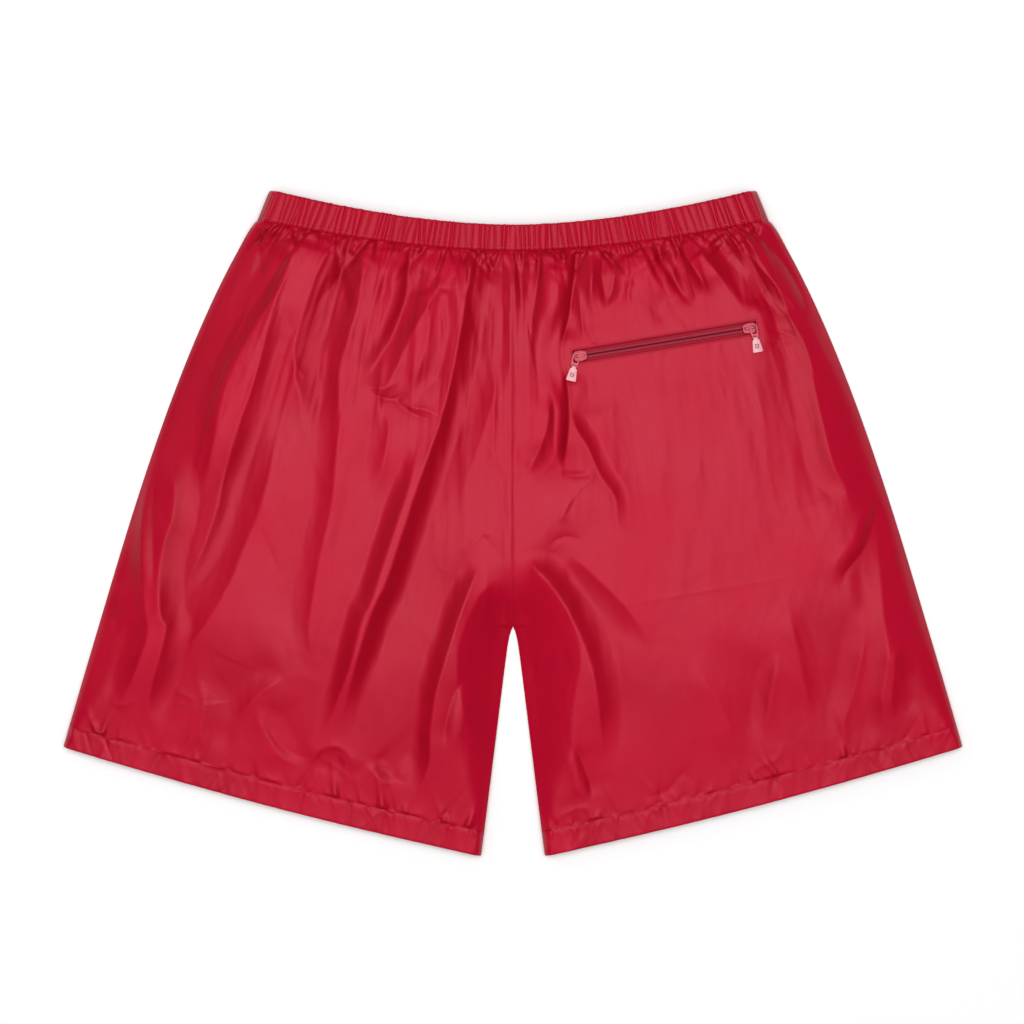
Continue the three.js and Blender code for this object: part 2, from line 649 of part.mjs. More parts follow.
// lean swings the pull outwards, towards the slider's mouth, from square to the zip.
function sliderWithPull(name, facing, lean) {
  const slider = new THREE.Group();
  slider.position.x = (-facing * SLIDER_SPAN) / 2;
  slider.rotation.z = facing > 0 ? 0 : Math.PI;
  const pull = new THREE.Group();
  pull.position.set(-FOOT_X, 0, PULL_Z);
  pull.rotation.z = facing > 0 ? -lean : Math.PI + lean;
  pull.add(
    piece(`pull_link_${name}`, pullLink(), sliderMetal),
    piece(`pull_pin_${name}`, pullPin(), pinSteel),
    piece(`pull_tab_${name}`, pullTab(), tabMetal),
  );
  slider.add(piece(`slider_${name}`, sliderBody(), sliderMetal), pull);
  return slider;
}

function zipPocket() {
  const zip = new THREE.Group();
  zip.position.set(ZIP_X, ZIP_Y, 0);
  zip.rotation.z = ZIP_TILT;
  zip.add(
    piece('window_facing', windowFacing(), nylon),
    piece('zip_tape_upper', zipTape(1), tapeWeave),
    piece('zip_tape_lower', zipTape(-1), tapeWeave),
    piece('zip_coil_upper', zipCoil(1), coilNylon),
    piece('zip_coil_lower', zipCoil(-1), coilNylon),
    piece('zip_stop_left', zipStop(-1), coilNylon),
    piece('zip_stop_right', zipStop(1), coilNylon),
    piece('pocket_bag_outer', bagTop(), lining),
    piece('pocket_bag_inner', bagBody(), lining),
    sliderWithPull('left', 1, LEFT_LEAN),
    sliderWithPull('right', -1, RIGHT_LEAN),
  );
  return zip;
}

// ---- Assembly ----
const shorts = new THREE.Group();
shorts.add(
  piece('back_panel_left', panel(backHeight, true), nylon),
  piece('back_panel_right', cut(panel(backHeight, false), zipWindow()), nylon),
  piece('front_panel_left', panel(frontHeight, true), nylon),
  piece('front_panel_right', panel(frontHeight, false), nylon),
  piece('waistband_left', waistbandStrip(true), nylon),
  piece('waistband_right', waistbandStrip(false), nylon),
  piece('waist_elastic', waistElastic(), elasticWeb),
  piece('centre_back_allowance', centreBackAllowance(), nylon),
  piece('centre_front_allowance', centreFrontAllowance(), nylon),
  piece('care_label', careLabel(), labelCloth),
);
for (const [side, isLeft] of [['left', true], ['right', false]]) {
  shorts.add(
    piece(`hem_${side}`, hem(isLeft), nylon),
    piece(`side_allowance_${side}`, edgeAllowance(1, 2, ROWS - 1, isLeft), nylon),
    piece(`inseam_allowance_${side}`, edgeAllowance(0, 2, FORK_ROW - 1, isLeft), nylon),
  );
}
shorts.add(zipPocket());

export default shorts;
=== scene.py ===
"""Red nylon boxing shorts laid flat, back up: cloth, stitching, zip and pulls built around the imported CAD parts."""

import json
import math

import bmesh
import bpy
import numpy as np
from bpy.props import FloatProperty, FloatVectorProperty, IntProperty, PointerProperty
from bpy.types import Operator, Panel, PropertyGroup
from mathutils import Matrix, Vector, noise

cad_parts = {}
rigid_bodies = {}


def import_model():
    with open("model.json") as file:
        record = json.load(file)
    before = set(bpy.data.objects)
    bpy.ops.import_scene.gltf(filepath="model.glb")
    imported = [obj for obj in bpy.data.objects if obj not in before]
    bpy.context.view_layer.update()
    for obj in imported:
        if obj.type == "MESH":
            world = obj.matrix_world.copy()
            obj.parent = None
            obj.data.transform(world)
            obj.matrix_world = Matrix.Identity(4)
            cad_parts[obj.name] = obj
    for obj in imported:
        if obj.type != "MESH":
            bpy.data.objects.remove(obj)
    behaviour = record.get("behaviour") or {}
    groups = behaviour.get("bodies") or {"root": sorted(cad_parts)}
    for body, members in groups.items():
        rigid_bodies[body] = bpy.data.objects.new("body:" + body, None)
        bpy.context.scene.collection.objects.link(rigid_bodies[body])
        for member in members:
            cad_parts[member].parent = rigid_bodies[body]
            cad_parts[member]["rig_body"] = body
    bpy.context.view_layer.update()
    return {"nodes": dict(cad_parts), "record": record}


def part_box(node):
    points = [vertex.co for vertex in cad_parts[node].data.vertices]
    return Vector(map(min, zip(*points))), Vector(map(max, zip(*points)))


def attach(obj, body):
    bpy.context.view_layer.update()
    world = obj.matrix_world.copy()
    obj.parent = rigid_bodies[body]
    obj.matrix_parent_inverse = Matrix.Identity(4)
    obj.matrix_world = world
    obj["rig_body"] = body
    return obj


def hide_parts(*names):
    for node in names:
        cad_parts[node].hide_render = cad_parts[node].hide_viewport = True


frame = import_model()

bl_info = {
    "name": "Boxing Shorts",
    "version": (1, 0, 0),
    "blender": (4, 5, 0),
    "location": "View3D > Sidebar > Shorts",
    "description": "Makes a pair of gathered nylon shorts with a zipped back pocket",
    "category": "Add Mesh",
}

MM = 0.001

# The pattern of the shorts in millimetres, as the CAD parts have it.
SEAM_HALF, WAIST_HALF, HEM_HALF = 209.0, 199.0, 367.7
TOP_Y, HEM_Y = 272.0, -272.0
SEAM_SIDE_Y, SEAM_CENTRE_Y = 247.0, 221.6
CROTCH_Y, HEM_SIDE_Y = -84.6, -182.6
WAIST_DIP, WAIST_CURVE = 28.6, 1.75
LOFT, BAND_LOFT, HEM_LOFT = 22.0, 18.0, 12.0
SEAM_MIDDLE = 0.95
EDGE_ROLL, BAND_ROLL, HEM_ROLL = 42.0, 9.0, 6.0
FORK = 6 / 16
HEM_HEIGHT, HEM_WIDTH = 18.5, 350
SEAT_DEPTH, LEG_LENGTH = 306.2, 458.0
WAIST_STITCH, HEM_STITCH = 0.13, 0.93
HEM_V = HEM_HEIGHT / math.hypot(HEM_HALF - SEAM_HALF, SEAM_SIDE_Y - HEM_SIDE_Y)
BAND_WALL = 3.4
SHARP_ANGLE = 42
ZIP_X, ZIP_Y, ZIP_TILT = 123.416, 147.4, math.radians(9.3)
WINDOW_LENGTH, WINDOW_WIDTH = 151.0, 10.4
# Beside the travel of the pulls the cloth stays under a limit, and further out it is free.
PULL_TRAVEL, PULL_REACH, PULL_CLEAR, CLOTH_LIMIT = 72.8, 21, 48, 21.6
TAPE_TOP, TAPE_UNDER = 17.8, 17.2
BAG_WIDTH, BAG_DEPTH, BAG_FLOOR, BAG_TOP = 165.0, 205.0, 7.0, 16.9

# Folds of the back panels, drawn from the waist down. Each has the rise across its face (the wearer's right
# side is the high one where it is above zero), the face's width, the spread of its shoulders, how soon it
# grows and fades as shares of its length, and the line it follows, all in millimetres.
FOLDS = [
    ("outer_left", 6.5, 14, 22, 0.04, 0.3,
     [(-182, 236), (-194, 198), (-213, 167), (-231, 135), (-244, 100), (-250, 59), (-254, 23)]),
    ("outer_left_branch", -5, 12, 16, 0.15, 0.25,
     [(-186, 187), (-194, 154), (-205, 113), (-218, 75), (-229, 37), (-235, 10), (-246, -21), (-269, -64)]),
    ("outer_left_sweep", 4.5, 17, 26, 0.3, 0.25,
     [(-194, 92), (-205, 45), (-218, 4), (-232, -29), (-235, -38), (-254, -74), (-268, -96), (-273, -126)]),
    ("left_second", -4.5, 13, 14, 0.04, 0.3,
     [(-138, 228), (-153, 201), (-162, 174), (-170, 149), (-171, 124), (-167, 102), (-170, 70)]),
    ("left_third", 4.5, 12, 20, 0.05, 0.2, [(-127, 224), (-130, 187), (-139, 154), (-147, 124), (-147, 86), (-150, 45),
     (-153, 15), (-162, -25), (-170, -74), (-169, -101), (-161, -123)]),
    ("left_fourth", -3.5, 8, 12, 0.04, 0.4, [(-89, 225), (-91, 187), (-98, 163), (-112, 135), (-124, 113)]),
    ("left_wedge", 4.5, 12, 12, 0.1, 0.2, [(-60, 204), (-75, 179), (-89, 154), (-101, 127), (-112, 102)]),
    ("left_wedge_face", -4, 11, 10, 0.1, 0.3, [(-65, 193), (-63, 157), (-71, 124), (-82, 102)]),
    ("left_small_drop", 3, 10, 10, 0.3, 0.4, [(-108, 100), (-106, 75), (-110, 51), (-115, 23)]),
    ("main_diagonal", -8, 12, 20, 0.03, 0.24, [(-28, 219), (-33, 174), (-39, 143), (-46, 108), (-55, 75), (-66, 45),
     (-76, 15), (-87, -18), (-98, -51), (-109, -74), (-120, -107), (-131, -142), (-141, -180)]),
    ("main_diagonal_left", 6.5, 10, 16, 0.25, 0.24,
     [(-76, 75), (-86, 40), (-96, 10), (-108, -26), (-120, -62), (-126, -74), (-136, -112), (-146, -142), (-157, -175)]),
    ("seat_left_soft", 3, 18, 22, 0.3, 0.5, [(-19, 141), (-24, 108), (-35, 70), (-46, 31), (-52, 4)]),
    ("crotch_left_outer", 6.5, 11, 18, 0.2, 0.22,
     [(-26, -26), (-42, -56), (-56, -96), (-67, -134), (-72, -167), (-74, -200), (-83, -227)]),
    ("crotch_left_inner", -4, 18, 16, 0.15, 0.3,
     [(-7, -44), (-25, -74), (-35, -101), (-36, -128), (-30, -156), (-20, -197)]),
    ("crotch_left_small", 3, 8, 9, 0.3, 0.3, [(-37, -123), (-48, -153), (-54, -186)]),
    ("lower_left_first", 5, 12, 13, 0.25, 0.2,
     [(-306, 31), (-307, -10), (-308, -19), (-306, -63), (-303, -87), (-311, -115), (-321, -139), (-331, -153)]),
    ("lower_left_second", -6, 14, 14, 0.15, 0.24, [(-275, 67), (-269, 34), (-270, 4), (-276, -14), (-281, -41),
     (-280, -71), (-275, -85), (-283, -118), (-292, -150), (-280, -175)]),
    ("lower_left_thin", -3, 6, 8, 0.3, 0.3, [(-292, 56), (-297, 18), (-296, -23), (-294, -59)]),
    ("side_left_short", 3, 7, 9, 0.3, 0.4, [(-328, -49), (-321, -66), (-322, -93)]),
    ("left_swirl", 3.2, 12, 14, 0.3, 0.4, [(-185, -122), (-205, -130), (-220, -146), (-228, -165)]),
    ("left_swirl_face", -3.6, 13, 14, 0.3, 0.35, [(-207, -146), (-197, -165), (-186, -184), (-172, -198)]),
    ("left_low_bump", 3.0, 10, 12, 0.3, 0.3, [(-167, -200), (-151, -187), (-139, -190), (-128, -207)]),
    ("left_low_bump_right", -2.8, 10, 12, 0.3, 0.3, [(-118, -192), (-106, -204), (-96, -212)]),
    ("left_panel_foot", -3, 14, 14, 0.3, 0.3, [(-254, -120), (-244, -145), (-247, -169), (-244, -194)]),
    ("right_first", 3.5, 8, 12, 0.05, 0.4, [(26, 212), (22, 182), (19, 154), (21, 124), (23, 100)]),
    ("right_deep", -7.5, 8, 12, 0.03, 0.15,
     [(47, 225), (45, 198), (41, 168), (36, 141), (40, 113), (41, 81), (38, 42)]),
    ("right_ridge_low", 4.5, 9, 12, 0.3, 0.25, [(35, 113), (34, 86), (28, 64), (19, 45), (13, 37)]),
    ("right_wavy", 3.6, 8, 10, 0.2, 0.4, [(48, 102), (53, 83), (64, 64), (74, 42), (86, 23), (88, 4), (90, -18)]),
    ("above_zip_a", -3, 7, 9, 0.05, 0.4, [(71, 223), (69, 204), (71, 188), (75, 171)]),
    ("above_zip_b", 3, 6, 9, 0.05, 0.3, [(86, 219), (84, 190), (75, 172)]),
    ("above_zip_c", -3.5, 8, 10, 0.05, 0.3, [(107, 227), (120, 206), (135, 183)]),
    ("above_zip_d", 4, 12, 12, 0.05, 0.3, [(130, 225), (142, 204), (156, 182)]),
    ("above_zip_e", -4.5, 10, 12, 0.05, 0.25, [(155, 225), (174, 201), (190, 178), (205, 168)]),
    ("side_right_a", 4.5, 10, 12, 0.05, 0.2, [(172, 232), (196, 206), (215, 186), (234, 168)]),
    ("side_right_b", -3, 7, 10, 0.05, 0.3, [(192, 238), (213, 217), (230, 193), (238, 171)]),
    ("outer_right", 6.0, 14, 13, 0.2, 0.3,
     [(203, 187), (222, 160), (233, 138), (239, 108), (246, 75), (254, 45), (266, 25), (271, 1)]),
    ("outer_right_short", -3.5, 8, 12, 0.3, 0.25, [(298, 27), (290, 4), (282, -18), (268, -37), (263, -53)]),
    ("lower_right_a", 4, 12, 16, 0.3, 0.3,
     [(293, 5), (293, -33), (295, -74), (299, -107), (295, -142), (300, -172), (298, -200)]),
    ("lower_right_b", -3.5, 12, 16, 0.3, 0.3, [(317, -93), (315, -128), (312, -161)]),
    ("lower_right_thin", 3.4, 10, 11, 0.3, 0.35, [(213, -101), (207, -126), (203, -153), (201, -180)]),
    ("lower_right_c", -2.5, 10, 14, 0.3, 0.3, [(225, -60), (235, -98), (241, -128), (248, -159)]),
    ("lower_right_d", 3.5, 12, 14, 0.3, 0.3, [(280, -60), (279, -98), (270, -139), (259, -180)]),
    ("crotch_right_inner", 4, 20, 16, 0.12, 0.3,
     [(6, -31), (22, -55), (37, -79), (45, -107), (41, -134), (38, -156), (39, -183), (44, -210), (41, -238)]),
    ("crotch_right_outer", -6, 14, 20, 0.12, 0.3,
     [(10, -23), (28, -38), (44, -57), (58, -82), (69, -109), (75, -139), (77, -172), (76, -200)]),
    ("crotch_right_high", 3.2, 12, 16, 0.2, 0.35, [(41, -26), (61, -46), (82, -66), (99, -87), (110, -103)]),
    ("crotch_right_foot", -3.5, 7, 9, 0.3, 0.3, [(47, -180), (55, -200), (64, -227)]),
    ("right_panel_soft", -3, 22, 26, 0.4, 0.3, [(142, -96), (167, -126), (183, -156), (193, -191)]),
]

# Pinched creases: height, half width, and the line each follows.
CREASES = [
    ("centre_pressed", -0.35, 1.0, [(-4, 82), (-6, 50), (-7, 20), (-6, -12)]),
    ("centre_star_a", 0.5, 2.2, [(-20, 62), (-12, 50), (-5, 38)]),
    ("centre_star_b", -0.5, 2.4, [(-30, -4), (-20, -16), (-11, -24)]),
    ("centre_star_c", 0.5, 2.6, [(-40, -26), (-27, -10), (-14, -8)]),
    ("centre_star_d", -0.4, 2.2, [(5, 34), (12, 44), (17, 56)]),
    ("left_star_a", -1.3, 3.0, [(-119, 109), (-109, 103), (-97, 101), (-86, 106)]),
    ("left_star_b", 1.2, 3.2, [(-92, 101), (-82, 94), (-70, 92), (-57, 86)]),
    ("left_star_c", -1.1, 3.0, [(-98, 102), (-86, 92), (-74, 86), (-64, 84)]),
    ("left_star_d", 1.0, 3.4, [(-118, 111), (-104, 110), (-92, 116)]),
    ("seat_fork_a", -1.5, 3.6, [(39, 41), (50, 39), (63, 40)]),
    ("seat_fork_b", 1.3, 3.6, [(66, 40), (56, 28), (45, 14), (38, 0)]),
    ("seat_fork_c", -1.2, 3.4, [(62, 34), (50, 20), (43, 6)]),
    ("seat_nick", -0.9, 2.6, [(30, -19), (36, -13), (45, -11), (56, -14)]),
    ("yoke_a", 1.6, 4.0, [(60, 226), (64, 204), (63, 180), (70, 166)]),
    ("yoke_b", -1.7, 4.0, [(92, 224), (96, 204), (94, 184), (102, 172)]),
    ("yoke_c", 1.6, 4.0, [(138, 222), (150, 202), (160, 186), (172, 178)]),
    ("yoke_d", -1.5, 3.8, [(122, 224), (130, 204), (138, 186), (150, 174)]),
    ("pocket_end_a", -0.7, 1.8, [(206, 158), (218, 156), (230, 152)]),
    ("pocket_end_b", 0.6, 2.0, [(206, 152), (218, 148), (228, 150)]),
    ("bag_foot", 0.28, 1.6, [(76, -68), (120, -61), (160, -54), (204, -47), (234, -41)]),
    ("press_line", -0.12, 1.2, [(-58, 80), (-20, 81), (14, 79), (36, 80)]),
    ("inseam_nick_a", 1.1, 2.6, [(12, -152), (18, -142), (25, -139)]),
    ("inseam_nick_b", -0.9, 2.4, [(13, -130), (17, -122), (14, -112)]),
    ("left_foot_a", 0.8, 3.4, [(-277, -136), (-266, -140), (-258, -146)]),
    ("left_foot_b", 0.8, 3.4, [(-330, -145), (-316, -148), (-308, -140)]),
    ("left_hem_a", -0.9, 4.0, [(-204, -158), (-190, -180), (-172, -190), (-160, -186)]),
    ("left_hem_b", 0.9, 4.2, [(-158, -190), (-142, -200), (-130, -212)]),
    ("left_hem_c", -0.9, 4.0, [(-119, -213), (-108, -200), (-98, -206), (-86, -212)]),
    ("left_hem_d", 1.0, 4.4, [(-142, -186), (-136, -196), (-140, -206)]),
    ("right_hem_a", 0.9, 4.0, [(34, -243), (44, -236), (58, -232), (71, -240)]),
    ("right_hem_b", -0.9, 4.2, [(107, -224), (126, -218), (138, -204), (146, -212)]),
    ("right_hem_c", 0.8, 4.0, [(192, -210), (200, -199), (215, -192), (222, -178)]),
    ("left_mid_a", -0.6, 3.0, [(-206, -2), (-198, -22), (-189, -46)]),
    ("left_mid_b", 0.6, 3.0, [(-180, 142), (-176, 128), (-168, 118)]),
]


# ---- Sizes and colours that a user would change ----
class ShortsCloth(PropertyGroup):
    """Nylon cloth of the shorts."""

    colour: FloatVectorProperty(
        name="Nylon", description="Colour of the nylon", subtype="COLOR", size=3, min=0, max=1,
        default=(0.42, 0.0010, 0.020)
    )
    # Painted shade: not a colour of the nylon itself, but the shade colour it is mixed toward where its crest value is
    # low, in folds, pleat creases and on steep fold faces.
    fold_shade_colour: FloatVectorProperty(
        name="Nylon in folds", description="Colour of the nylon down in its folds", subtype="COLOR", size=3, min=0,
        max=1,
        default=(0.30, 0.0003, 0.008),
    )
    lining_colour: FloatVectorProperty(
        name="Lining", description="Colour of the pocket bag", subtype="COLOR", size=3, min=0, max=1,
        default=(0.30, 0.012, 0.03)
    )
    thread_colour: FloatVectorProperty(
        name="Thread", description="Colour of the sewing thread", subtype="COLOR", size=3, min=0, max=1,
        default=(0.36, 0.006, 0.024)
    )
    fold_height: FloatProperty(
        name="Fold height", description="Scale of the large folds", subtype="FACTOR", min=0, max=1.5, default=1.0
    )
    gather_height: FloatProperty(
        name="Gather height", description="Height of a gather at the waist seam", subtype="DISTANCE", unit="LENGTH",
        min=0, max=0.004,
        default=0.0024,
    )
    pleat_height: FloatProperty(
        name="Pleat height", description="Height of a pleat of the waistband", subtype="DISTANCE", unit="LENGTH", min=0,
        max=0.003,
        default=0.0016,
    )
    pleat_width: FloatProperty(
        name="Pleat width", description="Usual width of a pleat of the waistband", subtype="DISTANCE", unit="LENGTH",
        min=0.002, max=0.02,
        default=0.0046,
    )
    crumple: FloatProperty(
        name="Crumple", description="Height of the small creases all over", subtype="DISTANCE", unit="LENGTH", min=0,
        max=0.002,
        default=0.00030,
    )
    seed: IntProperty(name="Seed", description="Arrangement of gathers and puckers", min=0, default=7)


class ShortsZip(PropertyGroup):
    """Zip, sliders and pulls."""

    coil_colour: FloatVectorProperty(
        name="Coil", description="Colour of the zip coil", subtype="COLOR", size=3, min=0, max=1,
        default=(0.42, 0.020, 0.055)
    )
    tape_colour: FloatVectorProperty(
        name="Tape", description="Colour of the zip tapes", subtype="COLOR", size=3, min=0, max=1,
        default=(0.42, 0.006, 0.028)
    )
    slider_colour: FloatVectorProperty(
        name="Slider", description="Colour of the lacquered sliders", subtype="COLOR", size=3, min=0, max=1,
        default=(0.33, 0.018, 0.040)
    )
    tab_colour: FloatVectorProperty(
        name="Tab", description="Colour of the pull tabs", subtype="COLOR", size=3, min=0, max=1,
        default=(0.70, 0.32, 0.35)
    )
    tooth_pitch: FloatProperty(
        name="Tooth pitch", description="From one turn of a coil to the next", subtype="DISTANCE", unit="LENGTH",
        min=0.0005, max=0.003,
        default=0.00128,
    )
    stitch_length: FloatProperty(
        name="Stitch length", description="From one stitch to the next", subtype="DISTANCE", unit="LENGTH", min=0.001,
        max=0.006,
        default=0.0026,
    )
    thread_width: FloatProperty(
        name="Thread width", description="Width of the sewing thread", subtype="DISTANCE", unit="LENGTH", min=0.0001,
        max=0.001,
        default=0.00042,
    )


class ShortsStage(PropertyGroup):
    """Floor, lights and camera."""

    floor_colour: FloatVectorProperty(
        name="Floor", description="Colour of the floor", subtype="COLOR", size=3, min=0, max=1,
        default=(0.90, 0.90, 0.90)
    )
    key_power: FloatProperty(
        name="Overhead light", description="Power of the overhead softbox", subtype="POWER", unit="POWER", min=0,
        max=500, default=32.0,
    )
    fill: FloatProperty(
        name="Fill", description="Strength of the light from all round", subtype="FACTOR", min=0, max=2, default=0.26
    )
    sky_light: FloatProperty(
        name="Even light", description="Strength of the broad light from above", subtype="FACTOR", min=0, max=10,
        default=1.35,
    )
    camera_height: FloatProperty(
        name="Camera height", description="Height of the camera over the floor", subtype="DISTANCE", unit="LENGTH",
        min=0.5, max=6,
        default=2.332,
    )
    camera_lens: FloatProperty(
        name="Lens", description="Focal length of the camera", subtype="DISTANCE_CAMERA", unit="CAMERA", min=20,
        max=200, default=100.0,
    )


# ---- Outline and heights of the pattern, in millimetres ----
def lerp(a, b, t):
    return a + (b - a) * t


def smooth(t, a, b):
    s = np.clip((t - a) / (b - a), 0, 1)
    return s * s * (3 - 2 * s)


def swell(share):
    return 1 - (1 - np.clip(share, 0, 1)) ** 2


def drop_at(v):
    """How far below the waist seam a row of the seat lies, in millimetres."""
    return (1 - v) / (1 - FORK) * SEAT_DEPTH


def side_point(t):
    bow = 17.0 * np.sin(np.pi * np.power(t, 0.66))
    return lerp(SEAM_HALF, HEM_HALF, t) + bow, lerp(SEAM_SIDE_Y, HEM_SIDE_Y, t)


def inner_point(v):
    """Centre seam above the fork, inseam below it."""
    t = np.clip(1 - v / FORK, 0, 1)
    drop = t * (CROTCH_Y - HEM_Y)
    leg_x = 23.4 * t + 2.6 * (1 - np.exp(-drop / 6.0))
    seat_y = lerp(CROTCH_Y, SEAM_CENTRE_Y, (v - FORK) / (1 - FORK))
    return np.where(v < FORK, leg_x, 0.0), np.where(v < FORK, CROTCH_Y - drop, seat_y)


def panel_point(u, v):
    """A point of the wearer's right half: u from the centre to the side, v from the hem edge to the waist seam."""
    ix, iy = inner_point(v)
    ox, oy = side_point(1 - v)
    bend = (SEAM_SIDE_Y - SEAM_CENTRE_Y) * (np.power(u, WAIST_CURVE) - u) * v**6
    bend = bend - 4.0 * np.sin(np.pi * u) * (1 - v) ** 3
    return lerp(ix, ox, u), lerp(iy, oy, u) + bend


def along_leg(v, band, middle, hem):
    return lerp(hem, lerp(middle, band, smooth(v, 15 / 16, 1)), smooth(v, 0, 0.3))


def loft_at(v):
    return along_leg(v, BAND_LOFT, LOFT, HEM_LOFT)


def seam_at(v):
    return along_leg(v, BAND_LOFT / 2, SEAM_MIDDLE, HEM_LOFT / 2)


def roll_at(v):
    return along_leg(v, BAND_ROLL, EDGE_ROLL, HEM_ROLL)


def width_at(v):
    ix, iy = inner_point(v)
    ox, oy = side_point(1 - v)
    return np.hypot(ox - ix, oy - iy)


def edge_distances(u, v):
    """How far a point lies from the side seam, and from the inseam or the fork."""
    x, y = panel_point(u, v)
    width = width_at(v)
    return (1 - u) * width, np.where(v < FORK, u * width, np.hypot(x, y - CROTCH_Y))


def openness(u, v):
    """How far the two layers have parted, from 0 at a seam to 1."""
    side, inner = edge_distances(u, v)
    roll = roll_at(v)
    from_side = 0.16 * swell(side / (0.3 * roll)) + 0.84 * swell(side / (1.35 * roll))
    return from_side * swell(inner / (1.3 * roll))


def back_height(u, v):
    return lerp(seam_at(v), loft_at(v), openness(u, v))


def front_height(u, v):
    side, inner = edge_distances(u, v)
    roll = roll_at(v)
    return seam_at(v) * (1 - swell(side / roll) * swell(inner / roll))


def zip_place(along, across):
    """A point of the zip's own frame, put in the shorts' frame."""
    c, s = math.cos(ZIP_TILT), math.sin(ZIP_TILT)
    return ZIP_X + along * c - across * s, ZIP_Y + along * s + across * c


def zip_frame(x, y):
    """The other way round: how far along and across the zip a point lies."""
    c, s = math.cos(ZIP_TILT), math.sin(ZIP_TILT)
    dx, dy = x - ZIP_X, y - ZIP_Y
    return dx * c + dy * s, dy * c - dx * s


def window_distance(x, y):
    along, across = zip_frame(x, y)
    return np.hypot(np.maximum(np.abs(along) - WINDOW_LENGTH / 2, 0), np.maximum(np.abs(across) - WINDOW_WIDTH / 2, 0))


# ---- Folds ----
def spline(points, parts=7):
    """Points of a smooth curve through the given ones."""
    p = np.array(points, float)
    ends = np.vstack([2 * p[0] - p[1], p, 2 * p[-1] - p[-2]])
    made = []
    for a, b, c, d in zip(ends, ends[1:], ends[2:], ends[3:]):
        for t in np.arange(parts) / parts:
            made.append(
                0.5 * (2 * b + (c - a) * t + (2 * a - 5 * b + 4 * c - d) * t**2 + (3 * b - a - 3 * c + d) * t**3)
            )
    made.append(p[-1])
    return np.array(made)


def beside(line, x, y):
    """Signed distance of each point from a line, and how far along the line it lies, 0 to 1."""
    best = np.full(x.shape, 1e9)
    signed, along = np.zeros(x.shape), np.zeros(x.shape)
    steps = np.hypot(*np.diff(line, axis=0).T)
    start = np.concatenate([[0], np.cumsum(steps)])
    for i, (a, b) in enumerate(zip(line, line[1:])):
        dx, dy = b - a
        t = np.clip(((x - a[0]) * dx + (y - a[1]) * dy) / max(steps[i] ** 2, 1e-9), 0, 1)
        ox, oy = x - a[0] - dx * t, y - a[1] - dy * t
        distance = np.hypot(ox, oy)
        near = distance < best
        best = np.where(near, distance, best)
        signed = np.where(near, distance * np.sign(dx * oy - dy * ox), signed)
        along = np.where(near, (start[i] + steps[i] * t) / start[-1], along)
    return signed, along


def folds_height(x, y, scale):
    """Each fold is a face between a valley and a crest, whose shoulders run out on both sides. Wide faces
    steepen up to a crisp crest, and narrow ones rise from a crisp valley."""
    total = np.zeros(x.shape)
    for _, rise, face, spread, grow, fade, points in FOLDS:
        line = spline(points)
        reach = face + 3.2 * spread
        low, high = line.min(0) - reach, line.max(0) + reach
        near = (x > low[0]) & (x < high[0]) & (y > low[1]) & (y < high[1])
        if not near.any():
            continue
        signed, along = beside(line, x[near], y[near])
        strength = smooth(along, 0, grow) * smooth(1 - along, 0, fade)
        half = face * (0.55 + 0.45 * strength) / 2
        crisp = math.copysign(1, rise) * (1 if face > 9 else -1)
        share = np.clip((signed * crisp + 2 * half) / (3 * half), 0, 1)
        past = np.maximum(signed * crisp - half, 0) + 0.75 * np.maximum(-signed * crisp - 2 * half, 0)
        shoulder = np.exp(-past / spread) * smooth(3.0 - past / spread, 0, 1.6)
        total[near] += rise * crisp * strength * 0.5 * (2 * share**1.7 - 1) * shoulder
    return 8.5 * np.tanh(total * scale / 8.5)


def creases_height(x, y):
    total = np.zeros(x.shape)
    for _, height, width, points in CREASES:
        line = spline(points)
        low, high = line.min(0) - 5 * width, line.max(0) + 5 * width
        near = (x > low[0]) & (x < high[0]) & (y > low[1]) & (y < high[1])
        if near.any():
            signed, along = beside(line, x[near], y[near])
            total[near] += height * np.sin(np.pi * along) ** 0.7 * np.exp(-np.abs(signed) / width)
    return total


def gathers_height(rng, u, v, height):
    """Gathers that the waist seam holds: sharp valleys that run down the cloth, widen and fade out."""
    drop = drop_at(v)
    lateral = u * SEAM_HALF
    total = np.zeros(u.shape)
    place = 2.0
    while place < SEAM_HALF - 3:
        length = 6 + 52 * rng.random() ** 2.4
        width, depth = rng.uniform(1.8, 4.8), height * rng.uniform(0.5, 1.4)
        slant = rng.normal(0, 0.1 + 3.0 / length)
        near = (drop < 4.5 * length) & (np.abs(lateral - place) < 40)
        d = drop[near]
        across = np.abs(lateral[near] - place - slant * d - 0.0012 * slant * d**2) / (width * (1 + 0.03 * d))
        total[near] += (
            depth * np.exp(-d / length) * (0.28 * np.exp(-((across / 2.2) ** 2)) - np.clip(1 - across, 0, 1) ** 1.25)
        )
        place += rng.uniform(2.6, 8.0)
    return total


def long_folds_height(rng, u, v, height):
    """Long thin folds that fan out with the cloth below the waist, each steeper on one side of its crest."""
    drop = drop_at(v)
    lateral = u * SEAM_HALF
    total = np.zeros(u.shape)
    place = rng.uniform(6, 14)
    while place < SEAM_HALF - 8:
        start, length = rng.uniform(-6, 110), rng.uniform(60, 190)
        width, slant, steep = rng.uniform(1.6, 3.2), rng.normal(0, 0.05), rng.choice([-1, 1])
        bend = rng.uniform(-5, 5)
        near = (drop > start) & (drop < start + length) & (np.abs(lateral - place) < 40)
        d = drop[near] - start
        across = (lateral[near] - place - slant * d - bend * np.sin(np.pi * d / length)) * steep / width
        crest = np.exp(-np.abs(across) / np.where(across > 0, 1.0, 3.2))
        total[near] += (
            height * rng.uniform(0.4, 1.0) * smooth(d, 0, 24) * smooth(length - d, 0, 0.6 * length) * (crest - 0.3)
        )
        place += rng.uniform(7, 22)
    return total


